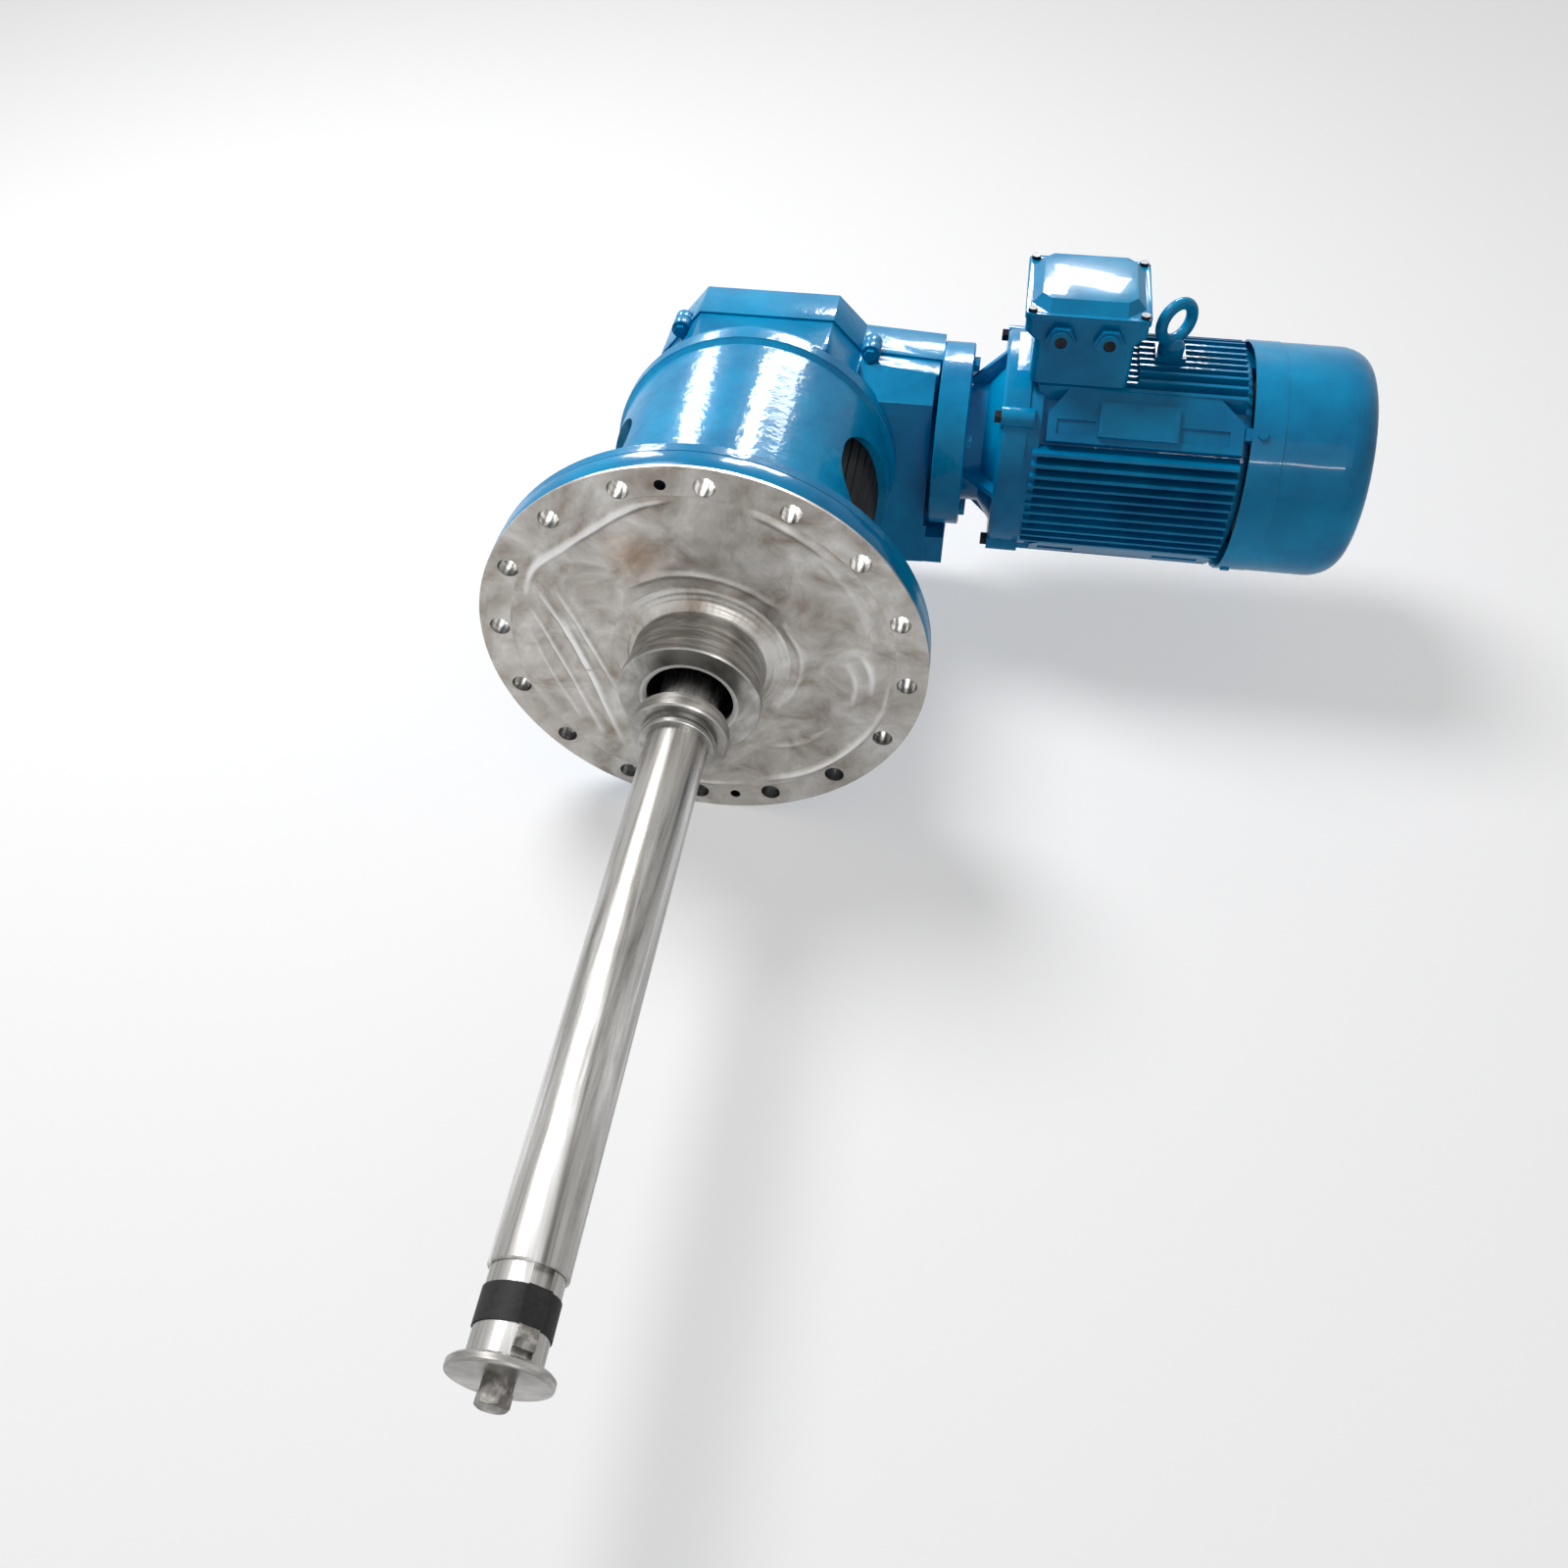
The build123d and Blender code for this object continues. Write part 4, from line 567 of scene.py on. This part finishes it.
def cladding_finish():
    """Pickled steel with a painted highlight on the crests, and one brown heat tint near the top
    crease.
    """
    material = steel_material("cladding_finish", FACE_TONES, EVEN, 17, (0.26, 0.46), 0.3)
    tree = material.node_tree
    shader = tree.nodes["Principled BSDF"]
    cloud_color = shader.inputs["Base Color"].links[0].from_socket
    coords = add_node(tree, "ShaderNodeTexCoord")
    offset = add_node(tree, "ShaderNodeVectorMath", operation="DISTANCE")
    offset.inputs[1].default_value = HEAT_TINT_AT
    join(tree, coords, "Object", offset, 0)
    near = add_node(tree, "ShaderNodeMapRange", interpolation_type="SMOOTHSTEP")
    set_inputs(near, From_Min=HEAT_TINT_R, From_Max=0.0, To_Max=HEAT_TINT_SHARE)
    join(tree, offset, "Value", near, "Value")
    tint = add_node(tree, "ShaderNodeMix", data_type="RGBA", blend_type="MULTIPLY")
    tint.inputs["B"].default_value = HEAT_BROWN
    join(tree, near, "Result", tint, "Factor")
    tree.links.new(cloud_color, tint.inputs["A"])
    # painted highlight: the colour is mixed towards a bright tone by how high each crest stands
    crest = add_node(tree, "ShaderNodeAttribute", attribute_name="crest")
    rubbed = add_node(tree, "ShaderNodeMix", data_type="RGBA")
    rubbed.inputs["B"].default_value = RUBBED_BRIGHT
    join(tree, crest, "Fac", rubbed, "Factor")
    join(tree, tint, "Result", rubbed, "A")
    join(tree, rubbed, "Result", shader, "Base Color")
    return material


# %% Cladding sheet
SHEET_IN, SHEET_OUT, SHEET_RINGS, SHEET_STEPS = 95.0, 243.0, 96, 300
SHEET_FADE, SHEET_EDGE_SHARE = 7.0, 0.15
SHEET_LOW, SHEET_HIGH, SHEET_BACK = 0.25, 5.5, 0.5
CREST_FULL, CREST_BASE, CREST_MOST = 4.0, 2.2, 0.85


def cladding():
    step = (SHEET_OUT - SHEET_IN) / SHEET_RINGS
    profile = [(SHEET_IN, SHEET_BACK)]
    profile += [(SHEET_IN + k * step, 0.0) for k in range(SHEET_RINGS + 1)]
    profile += [(SHEET_OUT, SHEET_BACK)]
    bm = spun(profile, SHEET_STEPS)
    for vert in bm.verts:
        if vert.co.y > SHEET_BACK / 2 * MM:
            continue
        x, z = vert.co.x / MM, vert.co.z / MM
        inside = min(1.0, (SHEET_OUT - hypot(x, z)) / SHEET_FADE)
        edge = inside * (1 - SHEET_EDGE_SHARE) + SHEET_EDGE_SHARE
        vert.co.y = -min(SHEET_HIGH, max(SHEET_LOW, sheet_height(x, z) * edge)) * MM
    obj = piece_from("cladding", bm, cladding_finish(), 50)
    # the height of each point over the base, which sets the painted highlight on the crests
    crest = obj.data.attributes.new("crest", "FLOAT", "POINT")
    for vert, mark in zip(obj.data.vertices, crest.data):
        rise = -vert.co.y / MM - CREST_BASE
        mark.value = max(0.0, min(CREST_MOST, rise / CREST_FULL))
    return obj


sheet = cladding()
print("cladding:", len(sheet.data.polygons), "faces")

# %% [markdown]
# ## Weld bead
# A hand-laid bead joins the neck to the face. It swells and sinks as the welder's hand slows, and
# fine ripples run round it, one for each dip of the rod. A spun profile moved by waves and noise
# gives both.

# %% Weld
# radius and y of the profile, in mm
WELD_PROFILE = [(84, 0.2), (84, -15), (86, -14.6), (89, -12.2), (92, -9.2), (96, -6.6),
                (101, -4.6), (107, -3.2), (112, -1.6), (112, 0.2)]
WELD_RIPPLES, WELD_STEPS, WELD_SPLITS = 70, 420, 4
WELD_ROOT_Y, WELD_TOE_Y = -14.0, -1.0
WAVE_H, LUMP_H, LUMP_SCALE = 0.22, 1.3, 32
RADIAL_WAVE, SPIRAL, RIPPLE_SHARE = 0.9, 2.0, 0.35


def weld_bead():
    profile = [WELD_PROFILE[0]]
    for (ra, ya), (rb, yb) in zip(WELD_PROFILE, WELD_PROFILE[1:]):
        profile += [(ra + (rb - ra) * t / WELD_SPLITS, ya + (yb - ya) * t / WELD_SPLITS)
                    for t in range(1, WELD_SPLITS + 1)]
    bm = spun(profile, WELD_STEPS)
    for vert in bm.verts:
        turn = atan2(vert.co.z, vert.co.x)
        r = hypot(vert.co.x, vert.co.z) / MM
        wave = sin(RADIAL_WAVE * r + SPIRAL * turn) + RIPPLE_SHARE * sin(turn * WELD_RIPPLES)
        if WELD_ROOT_Y * MM < vert.co.y < WELD_TOE_Y * MM:
            vert.co.y += (WAVE_H * wave + LUMP_H * noise.noise(vert.co * LUMP_SCALE)) * MM
    return piece_from("weld_bead", bm, pickled_steel, 60)


bead = weld_bead()
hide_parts("neck_weld")
print("weld:", len(bead.data.polygons), "faces")

# %% [markdown]
# ## Bare walls of the holes
# The holes were drilled after painting, so their walls are bright bare steel. The two jacking holes
# are threaded, and their dark walls are painted shade for the inside of the holes. A thin tube
# lines each of them, a hair inside the hole.

# %% Line the holes
HOLE_COUNT, HOLE_PHASE, HOLE_CIRCLE = 16, radians(108.66), 257.5
JACK_PHASE = radians(97.4)
TUBE_T, TUBE_STEPS = 0.25, 48
# radius, start and end along Y, in mm
BOLT_HOLE, JACK_HOLE = (12.95, 0.6, 46.5), (6.95, 0.6, 30.5)


def tubes(name, turns, size, material):
    """A thin tube along Y at each turn of the hole circle."""
    radius, y0, y1 = size
    section = ((radius, y0), (radius, y1), (radius - TUBE_T, y1), (radius - TUBE_T, y0))
    bm = bmesh.new()
    for turn in turns:
        x, z = HOLE_CIRCLE * cos(turn), HOLE_CIRCLE * sin(turn)
        loop = [bm.verts.new(((x + r) * MM, y * MM, z * MM)) for r, y in section]
        edges = [bm.edges.new((loop[j], loop[(j + 1) % 4])) for j in range(4)]
        bmesh.ops.spin(bm, geom=loop + edges, cent=(x * MM, 0, z * MM), steps=TUBE_STEPS,
                       **ALONG_Y)
    bmesh.ops.recalc_face_normals(bm, faces=bm.faces)
    return piece_from(name, bm, material)


bolt_turns = [HOLE_PHASE - 2 * pi * k / HOLE_COUNT for k in range(HOLE_COUNT)]
jack_turns = [JACK_PHASE, JACK_PHASE + pi]
hole_tubes = tubes("hole_tubes", bolt_turns, BOLT_HOLE, turned_steel)
# painted shade: the jacking holes get a dark lining
jack_tubes = tubes("jack_tubes", jack_turns, JACK_HOLE, dull["black_screw_and_shade"])
print("tubes:", len(hole_tubes.data.polygons) + len(jack_tubes.data.polygons), "faces")

# %% [markdown]
# ## Dark centres of the cable entry plugs
# Each blanking plug has a socket for its key in the middle, dark with shade. A short dark disc, a
# painted shade, stands in for it, because the socket itself is too small to read at this size.

# %% Plug centres
PLUG_XZ = [(403.5, 217.0), (465.5, 217.0)]
CENTRE_R, CENTRE_Y0, CENTRE_Y1, CENTRE_SIDES = 7.9, 418.5, 421.5, 40


def plug_centres():
    bm = bmesh.new()
    along_shaft = Matrix.Rotation(pi / 2, 4, "X")
    for x, z in PLUG_XZ:
        place = Matrix.Translation((x * MM, (CENTRE_Y0 + CENTRE_Y1) / 2 * MM, z * MM))
        bmesh.ops.create_cone(bm, cap_ends=True, segments=CENTRE_SIDES, radius1=CENTRE_R * MM,
                              radius2=CENTRE_R * MM, depth=(CENTRE_Y1 - CENTRE_Y0) * MM,
                              matrix=place @ along_shaft)
    # painted shade: a dark disc for the shaded key socket
    return piece_from("plug_centres", bm, dull["black_screw_and_shade"])


centres = plug_centres()
print("plug centres:", len(centres.data.polygons), "faces")

# %% [markdown]
# ## Soft edges on the castings
# A casting never has a sharp edge: the sand mould rounds it and the paint gathers on it. Each
# casting is copied, its loose triangles are merged into a closed skin, its flat faces are joined,
# and its sharp edges are bevelled by a millimetre or two. The CAD solid stays behind for the
# collisions, hidden.

# %% Soften the castings
SHARP, FLAT = radians(32), radians(0.5)
MERGE_GAP, BEVEL_STEPS, SKIN_SMOOTH = 0.00001, 2, 35
# node: width of the bevel, in mm
SOFT_EDGES = {"gearbox_front_case": 2.2, "gearbox_rear_case": 2.2, "terminal_box_lid": 1.6,
              "nameplate": 0.8, "mounting_flange": 1.0}


def soften(node_name, radius):
    node = nodes[node_name]
    bm = bmesh.new()
    bm.from_mesh(node.data)
    bmesh.ops.remove_doubles(bm, verts=bm.verts, dist=MERGE_GAP)
    bmesh.ops.dissolve_limit(bm, angle_limit=FLAT, use_dissolve_boundaries=False,
                             verts=bm.verts, edges=bm.edges)
    sharp = [e for e in bm.edges if len(e.link_faces) == 2 and e.calc_face_angle(0.0) > SHARP]
    bmesh.ops.bevel(bm, geom=sharp, offset=radius * MM, offset_type="OFFSET", affect="EDGES",
                    segments=BEVEL_STEPS, profile=0.5, material=-1, clamp_overlap=True)
    bmesh.ops.recalc_face_normals(bm, faces=bm.faces)
    obj = piece_from(node_name + "_skin", bm, node.data.materials[0], SKIN_SMOOTH)
    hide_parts(node_name)
    return obj


for name, radius in SOFT_EDGES.items():
    skin = soften(name, radius)
    print(skin.name, len(skin.data.polygons), "faces")
